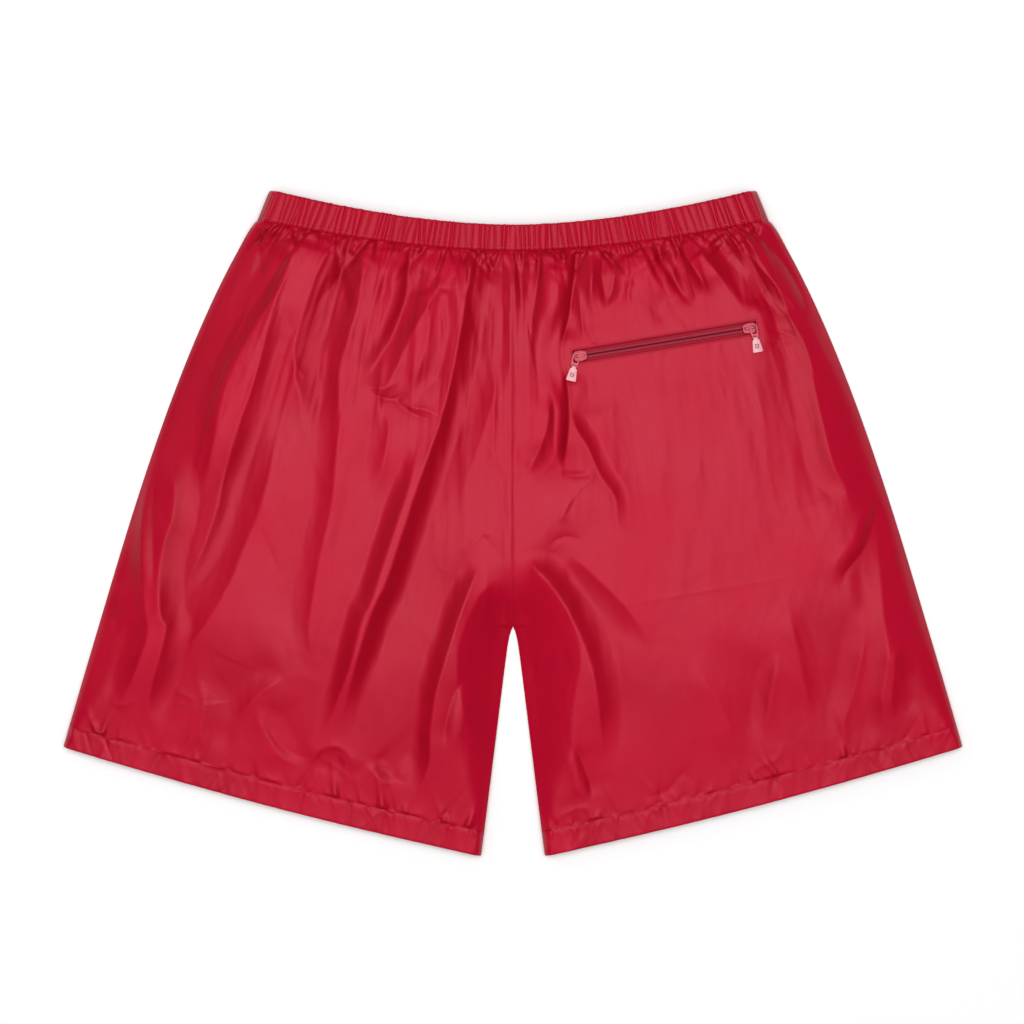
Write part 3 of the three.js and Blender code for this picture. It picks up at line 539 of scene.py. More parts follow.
def noise_over(x, y, value):
    """What value gives at each pair of x and y."""
    return np.array([value(*pair) for pair in zip(x.ravel(), y.ravel())]).reshape(x.shape)


def streaks_at(lateral, y, width, length, seed):
    """Long ridged streaks that fan out with the cloth, from -0.5 to 0.5."""
    def ridge(across, along):
        p = Vector((across / width, along / length, seed))
        return 0.5 - abs(noise.noise(p) + 0.35 * noise.noise(p * 2.3)) * 1.7

    return noise_over(lateral, y, ridge)


def hem_puckers(rng, lateral, above, height):
    """Short puckers along a stitched hem: lateral runs along the stitches and above is the distance from them."""
    total = np.zeros(lateral.shape)
    place = 3.0
    while place < HEM_WIDTH - 2:
        width, length = rng.uniform(1.3, 3.6), 3.0 + 15.0 * rng.random() ** 2
        rise, slant = height * rng.normal(0.1, 0.9), rng.normal(0, 0.45)
        near = (np.abs(lateral - place) < 5 * width + 12) & (np.abs(above) < 4 * length)
        across = (lateral[near] - place - slant * above[near]) / width
        total[near] += rise * np.exp(-np.abs(above[near]) / length - across**2)
        place += rng.uniform(2.0, 6.0)
    return total


def window_puckers(rng, x, y, height):
    """Small gathers that run off the long stitched edges of the pocket window."""
    along, across = zip_frame(x, y)
    total = np.zeros(x.shape)
    for side in (-1, 1):
        off = side * across - WINDOW_WIDTH / 2 - 2.5
        place = -WINDOW_LENGTH / 2
        while place < WINDOW_LENGTH / 2:
            width, length, slant = rng.uniform(1.6, 4.0), rng.uniform(4, 13), rng.normal(0, 0.3)
            rise = height * rng.uniform(-1, 0.7)
            near = (off > -1) & (off < 40) & (np.abs(along - place) < 24)
            lateral = (along[near] - place - slant * off[near]) / width
            total[near] += rise * smooth(off[near], -1, 2) * np.exp(-np.maximum(off[near], 0) / length - lateral**2)
            place += rng.uniform(4, 11)
    return total


def crumple_at(x, y, size, stretch, seed):
    """Ridged noise drawn out along Y, from -0.5 to 0.5."""
    def ridge(across, along):
        p = Vector((across / size, along / (size * stretch), seed))
        warp = noise.noise(p * 0.6 + Vector((9.1, 4.7, 2.3)))
        return 0.5 - abs(noise.noise(p + Vector((warp, 0.7 * warp, 0)))) * 1.6

    return noise_over(x, y, ridge)


# ---- Meshes ----
def new_piece(name, mesh, material, body="garment", replaces=()):
    piece = bpy.data.objects.new(name, mesh)
    bpy.context.scene.collection.objects.link(piece)
    mesh.materials.clear()
    mesh.materials.append(material)
    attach(piece, body)
    if replaces:
        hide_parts(*replaces)
    return piece


def grid_mesh(name, points, flat=None, values=None, closed_columns=False, flip=False):
    """A smooth-shaded mesh from points[row][column], in millimetres. flat gives each point's place in the cut cloth,
    for the UV map, and values a 0 to 1 number that the material reads as the attribute crest. On the nylon this is
    painted shade: 0 gives the fold shade colour and 1 the plain colour."""
    rows, columns = points.shape[:2]
    index = np.arange(rows * columns).reshape(rows, columns)
    right = np.roll(index, -1, axis=1) if closed_columns else index[:, 1:]
    left = index if closed_columns else index[:, :-1]
    quads = np.stack([left[:-1], right[:-1], right[1:], left[1:]], axis=-1).reshape(-1, 4)
    if flip:
        quads = quads[:, ::-1]
    mesh = bpy.data.meshes.new(name)
    mesh.from_pydata((points.reshape(-1, 3) * MM).tolist(), [], quads.tolist())
    layer = mesh.uv_layers.new(name="Cloth")
    if flat is None:
        flat = points[..., :2]
    corners = np.empty(len(mesh.loops), np.int32)
    mesh.loops.foreach_get("vertex_index", corners)
    layer.data.foreach_set("uv", (flat.reshape(-1, 2) * MM)[corners].astype(np.float32).ravel())
    if values is not None:
        crest = mesh.attributes.new("crest", "FLOAT", "POINT")
        crest.data.foreach_set("value", values.ravel().astype(np.float32))
    mesh.shade_smooth()
    return mesh


def without_faces(mesh, unwanted):
    """The same mesh with the faces marked in unwanted taken out, and the vertices only they used."""
    edited = bmesh.new()
    edited.from_mesh(mesh)
    edited.faces.ensure_lookup_table()
    bmesh.ops.delete(edited, geom=[edited.faces[i] for i in np.nonzero(unwanted)[0]], context="FACES")
    edited.to_mesh(mesh)
    edited.free()
    return mesh


def clean_mesh(mesh, merge=None, fill=True):
    """Merges a mesh's doubles and fills its open edges where asked, and turns its faces outwards."""
    edited = bmesh.new()
    edited.from_mesh(mesh)
    if merge:
        bmesh.ops.remove_doubles(edited, verts=edited.verts, dist=merge)
    if fill:
        bmesh.ops.holes_fill(edited, edges=[e for e in edited.edges if e.is_boundary])
    bmesh.ops.recalc_face_normals(edited, faces=edited.faces)
    edited.to_mesh(mesh)
    edited.free()


# ---- Materials ----
def node_group(name, inputs, outputs):
    """An empty shader node group with named sockets, and its input and output nodes."""
    tree = bpy.data.node_groups.new(name, "ShaderNodeTree")
    for socket, kind, value in inputs:
        made = tree.interface.new_socket(socket, in_out="INPUT", socket_type=kind)
        if value is not None:
            made.default_value = value
    for socket, kind in outputs:
        tree.interface.new_socket(socket, in_out="OUTPUT", socket_type=kind)
    return tree, tree.nodes.new("NodeGroupInput"), tree.nodes.new("NodeGroupOutput")


def add(tree, kind, **settings):
    made = tree.nodes.new(kind)
    for key, value in settings.items():
        setattr(made, key, value)
    return made


def maths(tree, operation, a, b=None):
    """A Math node fed by sockets or numbers."""
    made = add(tree, "ShaderNodeMath", operation=operation)
    for i, value in enumerate([a] if b is None else [a, b]):
        if isinstance(value, (int, float)):
            made.inputs[i].default_value = value
        else:
            tree.links.new(value, made.inputs[i])
    return made.outputs[0]


def weave_group():
    """Plain weave: warp and weft threads that pass over and under each other."""
    tree = bpy.data.node_groups.get("Plain weave")
    if tree:
        return tree
    tree, source, out = node_group(
        "Plain weave", [("Vector", "NodeSocketVector", None), ("Threads", "NodeSocketFloat", 1500.0)],
        [("Height", "NodeSocketFloat")]
    )
    scaled = add(tree, "ShaderNodeVectorMath", operation="SCALE")
    tree.links.new(source.outputs["Vector"], scaled.inputs[0])
    tree.links.new(source.outputs["Threads"], scaled.inputs["Scale"])
    split = add(tree, "ShaderNodeSeparateXYZ")
    tree.links.new(scaled.outputs[0], split.inputs[0])
    x, y = (maths(tree, "MULTIPLY", split.outputs[i], math.pi) for i in (0, 1))
    over = maths(tree, "MULTIPLY", maths(tree, "SINE", x), maths(tree, "SINE", y))
    round_x = maths(tree, "ABSOLUTE", maths(tree, "COSINE", x))
    round_y = maths(tree, "ABSOLUTE", maths(tree, "COSINE", y))
    threads = maths(tree, "MULTIPLY", maths(tree, "ADD", round_x, round_y), -0.35)
    tree.links.new(maths(tree, "ADD", maths(tree, "MULTIPLY", over, 0.5), threads), out.inputs["Height"])
    return tree


def crinkle_group():
    """Small soft creases of thin cloth, and a slow change over it, from the object's own coordinates."""
    tree = bpy.data.node_groups.get("Crinkle")
    if tree:
        return tree
    tree, source, out = node_group(
        "Crinkle",
        [("Vector", "NodeSocketVector", None), ("Size", "NodeSocketFloat", 90.0)],
        [("Height", "NodeSocketFloat"), ("Patches", "NodeSocketFloat"), ("Grain", "NodeSocketFloat")],
    )
    drawn = add(tree, "ShaderNodeMapping")
    drawn.inputs["Scale"].default_value = (1.0, 0.45, 1.0)
    tree.links.new(source.outputs["Vector"], drawn.inputs["Vector"])
    creases = add(tree, "ShaderNodeTexNoise", noise_type="RIDGED_MULTIFRACTAL")
    creases.inputs["Detail"].default_value = 3.0
    creases.inputs["Roughness"].default_value = 0.45
    creases.inputs["Distortion"].default_value = 0.6
    tree.links.new(drawn.outputs[0], creases.inputs["Vector"])
    tree.links.new(source.outputs["Size"], creases.inputs["Scale"])
    patches = add(tree, "ShaderNodeTexNoise")
    patches.inputs["Scale"].default_value = 14.0
    patches.inputs["Detail"].default_value = 3.0
    tree.links.new(source.outputs["Vector"], patches.inputs["Vector"])
    grain = add(tree, "ShaderNodeTexNoise")
    grain.inputs["Scale"].default_value = 900.0
    grain.inputs["Detail"].default_value = 2.0
    tree.links.new(source.outputs["Vector"], grain.inputs["Vector"])
    tree.links.new(creases.outputs[0], out.inputs["Height"])
    tree.links.new(patches.outputs[0], out.inputs["Patches"])
    tree.links.new(grain.outputs[0], out.inputs["Grain"])
    return tree


def scuff_group():
    """Fine scratches and rubbed spots of lacquered metal."""
    tree = bpy.data.node_groups.get("Scuffs")
    if tree:
        return tree
    tree, source, out = node_group(
        "Scuffs", [("Vector", "NodeSocketVector", None), ("Amount", "NodeSocketFloat", 0.5)],
        [("Mask", "NodeSocketFloat"), ("Height", "NodeSocketFloat")]
    )
    drawn = add(tree, "ShaderNodeMapping")
    drawn.inputs["Scale"].default_value = (1.0, 0.16, 1.0)
    drawn.inputs["Rotation"].default_value = (0, 0, 0.5)
    tree.links.new(source.outputs["Vector"], drawn.inputs["Vector"])
    lines = add(tree, "ShaderNodeTexNoise")
    lines.inputs["Scale"].default_value = 2600.0
    lines.inputs["Detail"].default_value = 2.0
    tree.links.new(drawn.outputs[0], lines.inputs["Vector"])
    spots = add(tree, "ShaderNodeTexNoise")
    spots.inputs["Scale"].default_value = 420.0
    spots.inputs["Detail"].default_value = 4.0
    tree.links.new(source.outputs["Vector"], spots.inputs["Vector"])
    rubbed = maths(tree, "MULTIPLY", maths(tree, "GREATER_THAN", spots.outputs[0], 0.6), source.outputs["Amount"])
    mixed = maths(tree, "ADD", maths(tree, "MULTIPLY", lines.outputs[0], source.outputs["Amount"]), rubbed)
    tree.links.new(mixed, out.inputs["Mask"])
    tree.links.new(lines.outputs[0], out.inputs["Height"])
    return tree


def group_node(tree, group, vector, **values):
    made = add(tree, "ShaderNodeGroup", node_tree=group)
    tree.links.new(vector, made.inputs["Vector"])
    for key, value in values.items():
        made.inputs[key].default_value = value
    return made


def mixed_colour(tree, factor, a, b):
    mix = add(tree, "ShaderNodeMix", data_type="RGBA")
    tree.links.new(factor, mix.inputs["Factor"])
    for i, value in ((6, a), (7, b)):
        if hasattr(value, "is_linked"):
            tree.links.new(value, mix.inputs[i])
        else:
            mix.inputs[i].default_value = (*value, 1.0)
    return mix.outputs[2]


def span(tree, value, low, high, from_low=0.0, from_high=1.0):
    made = add(tree, "ShaderNodeMapRange")
    tree.links.new(value, made.inputs["Value"])
    for key, number in (("From Min", from_low), ("From Max", from_high), ("To Min", low), ("To Max", high)):
        made.inputs[key].default_value = number
    return made.outputs[0]


def bumped(tree, height, strength, distance, normal=None):
    bump = add(tree, "ShaderNodeBump")
    bump.inputs["Strength"].default_value = strength
    bump.inputs["Distance"].default_value = distance
    tree.links.new(height, bump.inputs["Height"])
    if normal:
        tree.links.new(normal, bump.inputs["Normal"])
    return bump.outputs["Normal"]


def blank_material(name, **values):
    """A material whose Principled shader has these values on its own sockets."""
    material = bpy.data.materials.new(name)
    material.use_nodes = True
    shader = material.node_tree.nodes["Principled BSDF"]
    for key, value in values.items():
        shader.inputs[key.replace("_", " ")].default_value = value
    return material, material.node_tree, shader


def tint(colour, factor):
    return tuple(min(1.0, c * factor) for c in colour)


def cloth_material(
    name, colour, fold_shade, roughness, threads, crinkle, weave=0.12, sheen=0.05, level=0.3, shine=(1.0, 0.9, 0.9, 1.0),
    paint_fold_shade=False,
):
    """Woven cloth: threads from the UV map, crinkles and colour patches from the object's coordinates. Where asked, it
    paints shade: the crest attribute mixes the colour toward the fold shade colour where crest is low.
    """
    found = bpy.data.materials.get(name)
    if found:
        return found
    material, tree, shader = blank_material(
        name, Sheen_Weight=sheen, Sheen_Roughness=0.4, Sheen_Tint=(1.0, 0.45, 0.5, 1.0), Specular_IOR_Level=level,
        Specular_Tint=shine, IOR=1.5
    )
    coordinates = add(tree, "ShaderNodeTexCoord")
    cut = add(tree, "ShaderNodeUVMap", uv_map="Cloth")
    woven = group_node(tree, weave_group(), cut.outputs[0], Threads=threads)
    crinkled = group_node(tree, crinkle_group(), coordinates.outputs["Object"], Size=crinkle)
    patches = span(tree, crinkled.outputs["Patches"], 0.0, 1.0, 0.3, 0.7)
    base = mixed_colour(tree, patches, tint(colour, 0.93), tint(colour, 1.07))
    if paint_fold_shade:
        # Painted shade: where crest is low, in fold valleys, pleat creases and on steep fold faces, the colour goes
        # toward the fold shade colour.
        crest = add(tree, "ShaderNodeAttribute", attribute_name="crest")
        base = mixed_colour(tree, crest.outputs["Fac"], fold_shade, base)
    speckled = mixed_colour(tree, span(tree, woven.outputs["Height"], 0.0, 0.16, -0.9, 0.4), base, tint(colour, 0.72))
    tree.links.new(speckled, shader.inputs["Base Color"])
    rough = maths(tree, "ADD", span(tree, crinkled.outputs["Patches"], roughness - 0.05, roughness + 0.05, 0.3, 0.7),
                  span(tree, crinkled.outputs["Grain"], -0.02, 0.02, 0.3, 0.7))
    tree.links.new(rough, shader.inputs["Roughness"])
    relief = bumped(tree, crinkled.outputs["Height"], 0.14, 0.0005)
    tree.links.new(bumped(tree, woven.outputs["Height"], weave, 0.00012, relief), shader.inputs["Normal"])
    return material


def metal_material(name, colour, metallic, roughness, wear, coat=0.08):
    """Lacquer over die-cast metal, a little rubbed."""
    found = bpy.data.materials.get(name)
    if found:
        return found
    material, tree, shader = blank_material(name, Metallic=metallic, Coat_Roughness=0.2, Specular_IOR_Level=0.4)
    shader.inputs["Coat Weight"].default_value = coat
    coordinates = add(tree, "ShaderNodeTexCoord")
    scuffed = group_node(tree, scuff_group(), coordinates.outputs["Object"], Amount=wear)
    tree.links.new(
        mixed_colour(tree, span(tree, scuffed.outputs["Mask"], 0.0, 0.55), colour, tint(colour, 0.62)),
        shader.inputs["Base Color"],
    )
    tree.links.new(span(tree, scuffed.outputs["Mask"], roughness - 0.06, roughness + 0.16), shader.inputs["Roughness"])
    tree.links.new(bumped(tree, scuffed.outputs["Height"], 0.12, 0.00005), shader.inputs["Normal"])
    return material


def plastic_material(name, colour, roughness):
    """Drawn nylon of the coil teeth, with a faint pull along it."""
    found = bpy.data.materials.get(name)
    if found:
        return found
    material, tree, shader = blank_material(name, Specular_IOR_Level=0.5, IOR=1.53)
    coordinates = add(tree, "ShaderNodeTexCoord")
    crinkled = group_node(tree, crinkle_group(), coordinates.outputs["Object"], Size=700.0)
    tree.links.new(
        mixed_colour(tree, crinkled.outputs["Grain"], tint(colour, 0.8), tint(colour, 1.2)), shader.inputs["Base Color"]
    )
    tree.links.new(
        span(tree, crinkled.outputs["Patches"], roughness - 0.05, roughness + 0.07), shader.inputs["Roughness"]
    )
    tree.links.new(bumped(tree, crinkled.outputs["Grain"], 0.1, 0.00004), shader.inputs["Normal"])
    return material


def thread_material(name, colour):
    """Twisted sewing thread."""
    found = bpy.data.materials.get(name)
    if found:
        return found
    material, tree, shader = blank_material(name, Sheen_Weight=0.3, Sheen_Roughness=0.5, Specular_IOR_Level=0.4)
    coordinates = add(tree, "ShaderNodeTexCoord")
    ply = add(tree, "ShaderNodeTexWave", wave_type="BANDS", bands_direction="DIAGONAL")
    ply.inputs["Scale"].default_value = 900.0
    ply.inputs["Distortion"].default_value = 1.5
    tree.links.new(coordinates.outputs["Object"], ply.inputs["Vector"])
    tree.links.new(
        mixed_colour(tree, ply.outputs["Fac"], tint(colour, 0.7), tint(colour, 1.2)), shader.inputs["Base Color"]
    )
    tree.links.new(span(tree, ply.outputs["Fac"], 0.62, 0.5), shader.inputs["Roughness"])
    tree.links.new(bumped(tree, ply.outputs["Fac"], 0.3, 0.0001), shader.inputs["Normal"])
    return material


def slider_lacquer():
    """Lacquer of the sliders."""
    return metal_material("Slider lacquer", tuple(bpy.context.scene.shorts_zip.slider_colour), 0.35, 0.36, 0.5)


def coil_nylon():
    """Nylon of the zip's coils and of its stops."""
    return plastic_material("Coil nylon", tuple(bpy.context.scene.shorts_zip.coil_colour), 0.36)


def nylon():
    cloth = bpy.context.scene.shorts_cloth
    # Painted shade: the nylon takes the fold shade colour where a piece's crest value is low.
    return cloth_material(
        "Nylon", tuple(cloth.colour), tuple(cloth.fold_shade_colour), 0.34, 1900.0, 60.0, sheen=0.02, level=0.33,
        shine=(1.0, 0.27, 0.33, 1.0), paint_fold_shade=True,
    )


def lining():
    cloth = bpy.context.scene.shorts_cloth
    return cloth_material("Lining", tuple(cloth.lining_colour), tuple(cloth.fold_shade_colour), 0.6, 1200.0, 120.0, sheen=0.1)


# ---- Cloth pieces ----
class SHORTS_OT_back_panels(Operator):
    """Makes the two back panels with their folds, gathers, centre seam and pocket window"""

    bl_idname = "shorts.back_panels"
    bl_label = "Back Panels"

    def execute(self, context):
        for is_left in (True, False):
            mesh = back_panel_mesh(is_left)
            side = "left" if is_left else "right"
            piece = new_piece(f"back_cloth_{side}", mesh, nylon(), replaces=[f"back_panel_{side}"])
        return {"FINISHED"}


def leg_rows(lower, upper):
    """Shares v of the rows of a panel: the leg below the fork and the seat above it."""
    return np.concatenate([np.linspace(HEM_V, FORK, lower, endpoint=False), np.linspace(FORK, 1, upper)])


def back_cloth_height(u, v, is_left):
    """Height of the back cloth over the floor, the folds' part of it, and all it adds to the plain shape, in
    millimetres."""
    cloth = bpy.context.scene.shorts_cloth
    x, y = panel_point(u, v)
    x = -x if is_left else x
    side, inner = edge_distances(u, v)
    drop = drop_at(v)
    lift = (v - HEM_V) * LEG_LENGTH
    rng = np.random.default_rng(cloth.seed + (1 if is_left else 2))
    from_window = window_distance(x, y) if not is_left else np.full(x.shape, 999.0)
    free = smooth(side, 0.5, 13) * smooth(from_window, 1.5, 20) * smooth(lift, 0, 22) * smooth(drop, 0.3, 6)
    free = free * np.where(v < FORK, smooth(inner, 0, 10), smooth(inner, 0, 16))
    folds = folds_height(x, y, cloth.fold_height)
    seam = np.abs(x)
    calm = np.where(v >= FORK, 0.25 + 0.75 * smooth(seam, 0, 9), 1.0)
    height = folds * free * calm
    height += creases_height(x, y) * smooth(side, 0, 4) * smooth(from_window, 1.5, 16)
    height += (
        gathers_height(rng, u, v, cloth.gather_height / MM) * smooth(side, 2, 14) * smooth(from_window, 3, 12)
        * smooth(drop, -0.5, 2.0)
    )
    plain = (
        1.0 if is_left
        else 1 - 0.8 * smooth(x, 52, 76) * (1 - smooth(x, 196, 226)) * smooth(y, -110, -50) * (1 - smooth(y, 150, 168))
    )
    height += 1.5 * cloth.fold_height * long_folds_height(rng, u, v, 1.0) * free * plain
    lateral = u * width_at(v)
    height += hem_puckers(rng, lateral, lift, 0.95) * smooth(side, 1, 6) * smooth(np.where(v < FORK, inner, 99), 1, 6)
    if not is_left:
        height += window_puckers(rng, x, y, 1.4)
    rough = cloth.crumple / MM
    weight = smooth(side, 0, 8) * smooth(from_window, 1.5, 9)
    seed = 3.1 if is_left else 5.7
    height += rough * 1.2 * crumple_at(x, y, 36, 2.6, seed) * weight
    height += rough * 0.5 * crumple_at(x, y, 12, 2.2, seed + 5) * weight
    fan = (0.35 + 0.65 * np.exp(-drop / 110)) * smooth(drop, 0, 14)
    height += rough * 2.4 * streaks_at(u * SEAM_HALF, y, 17, 120, seed + 9) * weight * fan
    height += rough * 1.0 * streaks_at(u * SEAM_HALF, y, 7, 60, seed + 14) * weight * fan
    # The hem's stitches hold the cloth level with the band below them.
    height *= smooth(lift, -0.1, 2.2)
    base = back_height(u, v)
    if not is_left:
        along, across = zip_frame(x, y)
        reach = np.hypot(np.maximum(np.abs(along) - PULL_TRAVEL, 0), across)
        over = 0.5 * np.log1p(np.exp(np.clip((base + height - CLOTH_LIMIT) / 0.5, -30, 30)))
        height -= over * (1 - smooth(reach, PULL_REACH, PULL_CLEAR))
    in_seat = v >= FORK
    groove = -0.22 * np.exp(-((seam / 0.9) ** 2))
    if is_left:
        pressed = 0.3 * smooth(seam, 0.6, 1.8) * (1 - smooth(seam, 7.0, 8.6))
    else:
        pressed = 0.12 * smooth(seam, 0.6, 1.8) * (1 - smooth(seam, 2.5, 6))
    relief = height.copy()
    height += np.where(in_seat, (groove + pressed) * smooth(drop, -1, 3) * smooth(inner, 0, 8), 0)
    height -= 0.1 * np.exp(-((lift / 1.2) ** 2)) + 1.0 * np.exp(-((drop / 1.6) ** 2)) * smooth(side, 0, 5)
    return np.maximum(base + height, seam_at(v) * 0.6), folds * np.sqrt(free), relief


def back_panel_mesh(is_left):
    v = leg_rows(130, 216)
    u = np.linspace(0, 1, 206)
    u = u - 0.055 * np.sin(2 * np.pi * u) / (2 * np.pi) * 2
    uu, vv = np.meshgrid(u, v)
    x, y = panel_point(uu, vv)
    x = -x if is_left else x
    if not is_left:
        along, across = zip_frame(x, y)
        half_x, half_y = WINDOW_LENGTH / 2, WINDOW_WIDTH / 2
        inside = (np.abs(along) < half_x) & (np.abs(across) < half_y)
    z, folded, relief = back_cloth_height(uu, vv, is_left)
    if not is_left:
        # Vertices in the window move to its nearest edge, and the faces between them are taken out.
        gap_x, gap_y = half_x - np.abs(along), half_y - np.abs(across)
        to_end = inside & (gap_x < gap_y)
        to_side = inside & ~to_end
        along = np.where(to_end, np.sign(along) * half_x, along)
        across = np.where(to_side, np.sign(across) * half_y, across)
        for cx in (-half_x, half_x):
            for cy in (-half_y, half_y):
                corner = np.unravel_index(np.argmin(np.hypot(along - cx, across - cy)), along.shape)
                along[corner], across[corner] = cx, cy
                inside[corner] = True
        x, y = zip_place(along, across)
    points = np.stack([x, y, z], axis=-1)
    # Painted shade: crest mixes steep fold faces and valleys toward the fold shade colour, and leaves fold tops at the
    # plain colour.
    slope = np.hypot(
        np.gradient(relief, axis=1) / np.maximum(np.abs(np.gradient(x, axis=1)), 0.3),
        np.gradient(relief, axis=0) / np.maximum(np.abs(np.gradient(y, axis=0)), 0.3),
    )
    crest = np.clip(0.92 + folded / 22.0 - 0.85 * smooth(slope, 0.12, 0.7), 0, 1)
    mesh = grid_mesh(f"back_cloth_{'left' if is_left else 'right'}", points, values=crest, flip=is_left)
    if not is_left:
        flags = inside.ravel()
        corners = np.empty(len(mesh.loops), np.int32)
        mesh.loops.foreach_get("vertex_index", corners)
        mesh = without_faces(mesh, flags[corners].reshape(-1, 4).all(axis=1))
    return mesh


class SHORTS_OT_front_panels(Operator):
    """Makes the two front panels, lying on the floor under the back"""

    bl_idname = "shorts.front_panels"
    bl_label = "Front Panels"

    def execute(self, context):
        for is_left in (True, False):
            side = "left" if is_left else "right"
            uu, vv = np.meshgrid(np.linspace(0, 1, 120), leg_rows(74, 122))
            x, y = panel_point(uu, vv)
            x = -x if is_left else x
            edge, inner = edge_distances(uu, vv)
            z = front_height(uu, vv)
            lift = np.maximum(0.15 + crumple_at(x, y, 28, 1.8, 5.5 if is_left else 6.5), 0) * 1.6
            z = z + lift * smooth(edge, 1, 14) * smooth(inner, 1, 14)
            # Painted shade: a steady crest of 0.7 mixes these under panels about a third of the way toward the fold
            # shade colour.
            mesh = grid_mesh(
                f"front_cloth_{side}", np.stack([x, y, z], axis=-1), values=np.full(x.shape, 0.7), flip=not is_left
            )
            piece = new_piece(f"front_cloth_{side}", mesh, nylon(), replaces=[f"front_panel_{side}"])
        return {"FINISHED"}


def band_level(u, depth, front):
    """Height of a layer of the waistband, depth inside its outer face, at a share u of the way to the side."""
    rise = swell((1 - u) * SEAM_HALF / BAND_ROLL)
    level = (BAND_LOFT / 2 - depth) * rise
    return BAND_LOFT / 2 + np.where(front, -level, level)


def pleats(rng, usual):
    """Edges of the pleats along half the waistband, in millimetres from the centre."""
    edges = [2.0]
    while edges[-1] < SEAM_HALF - 4:
        edges.append(
            edges[-1] + usual * rng.choice([0.55, 0.8, 1.0, 1.35], p=[0.2, 0.3, 0.3, 0.2]) * rng.uniform(0.8, 1.2)
        )
    return np.array(edges)


def pleat_height(rng, edges, u, h):
    """0 in the creases between pleats and 1 on a pleat's back. h runs up the band."""
    place = u * SEAM_HALF
    lean = rng.normal(0, 1.5, len(edges))
    bow = rng.normal(0, 0.35, len(edges))
    size = rng.uniform(0.3, 1.0, len(edges))
    fading = rng.uniform(-0.45, 0.45, len(edges))
    flat_join = smooth(place, 1.2, 3.0)
    total = np.zeros(np.broadcast(u, h).shape)
    for i in range(len(edges) - 1):
        a = edges[i] + lean[i] * (h - 0.5) + bow[i] * np.sin(np.pi * h)
        b = edges[i + 1] + lean[i + 1] * (h - 0.5) + bow[i + 1] * np.sin(np.pi * h)
        s = (place - a) / np.maximum(b - a, 0.5)
        near = (s > 0) & (s < 1)
        round_back = np.sqrt(np.clip(1 - (2 * s - 1) ** 2, 0, 1)) * size[i] * (1 + fading[i] * (h - 0.5))
        total = np.where(near, round_back, total)
    return total * flat_join + 0.62 * (1 - flat_join)


class SHORTS_OT_waistband(Operator):
    """Makes the two strips of the waistband, folded over the elastic and pleated all round"""

    bl_idname = "shorts.waistband"
    bl_label = "Waistband"

    def execute(self, context):
        for is_left in (True, False):
            side = "left" if is_left else "right"
            mesh = waistband_mesh(is_left)
            piece = new_piece(f"waistband_cloth_{side}", mesh, nylon(), replaces=[f"waistband_{side}"])
        return {"FINISHED"}


def waistband_mesh(is_left):
    cloth = bpy.context.scene.shorts_cloth
    rng = np.random.default_rng(cloth.seed + (11 if is_left else 12))
    back_u = np.linspace(0, 1, 520)
    front_u = np.linspace(1, 0, 230)[1:]
    u = np.concatenate([back_u, front_u])
    front = np.concatenate([np.zeros(len(back_u), bool), np.ones(len(front_u), bool)])
    # Rows go up the outer face, over the fold and down the inner face.
    outer = np.linspace(0, 0.955, 21)
    turn = np.linspace(0, np.pi, 9)[1:-1]
    inner = np.linspace(0.955, 0.02, 8)
    h = np.concatenate([outer, 0.955 + 0.045 * np.sin(turn), inner])
    depth = np.concatenate([np.zeros(len(outer)), BAND_WALL / 2 * (1 - np.cos(turn)), np.full(len(inner), BAND_WALL)])
    uu, hh = np.meshgrid(u, h)
    dd = depth[:, None] + 0 * uu
    ff = np.broadcast_to(front, uu.shape)
    curve = uu**WAIST_CURVE
    low = lerp(SEAM_CENTRE_Y, SEAM_SIDE_Y, curve)
    high = lerp(TOP_Y - WAIST_DIP, TOP_Y, curve)
    x = uu * (lerp(SEAM_HALF, WAIST_HALF, hh) - dd * (uu > 0.5) * 0.98)
    edges = pleats(rng, cloth.pleat_width / MM)
    ridge = np.where(
        ff, pleat_height(np.random.default_rng(cloth.seed + 40), edges, uu, hh), pleat_height(rng, edges, uu, hh)
    )
    ridge = ridge * smooth((1 - uu) * SEAM_HALF, 1.5, 7)
    outside = np.clip(1 - dd / BAND_WALL, 0, 1)
    raise_by = cloth.pleat_height / MM * (ridge - 0.7) * (0.35 + 0.65 * outside)
    seam_dip = (
        -1.1 * np.exp(-((hh / 0.05) ** 2)) * outside - 0.35 * np.exp(-(((hh - WAIST_STITCH) / 0.035) ** 2)) * outside
    )
    raise_by = raise_by + seam_dip
    z = band_level(uu, dd, ff)
    z = np.where(ff, z - raise_by * (dd < 1.7), z + raise_by)
    z = np.maximum(z, 0.02)
    y = lerp(low, high, hh) + np.where(hh > 0.9, 0.45 * (ridge - 0.6), 0)
    x = -x if is_left else x
    points = np.stack([x, y, z], axis=-1)
    flat = np.stack([np.cumsum(np.full(uu.shape, 0.56), axis=1), hh * 22 + dd * 3], axis=-1)
    # Painted shade: crest follows the pleats, so the creases between them go most of the way to the fold shade colour
    # and the pleats' backs keep the plain colour.
    return grid_mesh(
        f"waistband_cloth_{'left' if is_left else 'right'}", points, flat=flat,
        values=np.clip(0.3 + 0.75 * ridge, 0, 1), flip=is_left,
    )


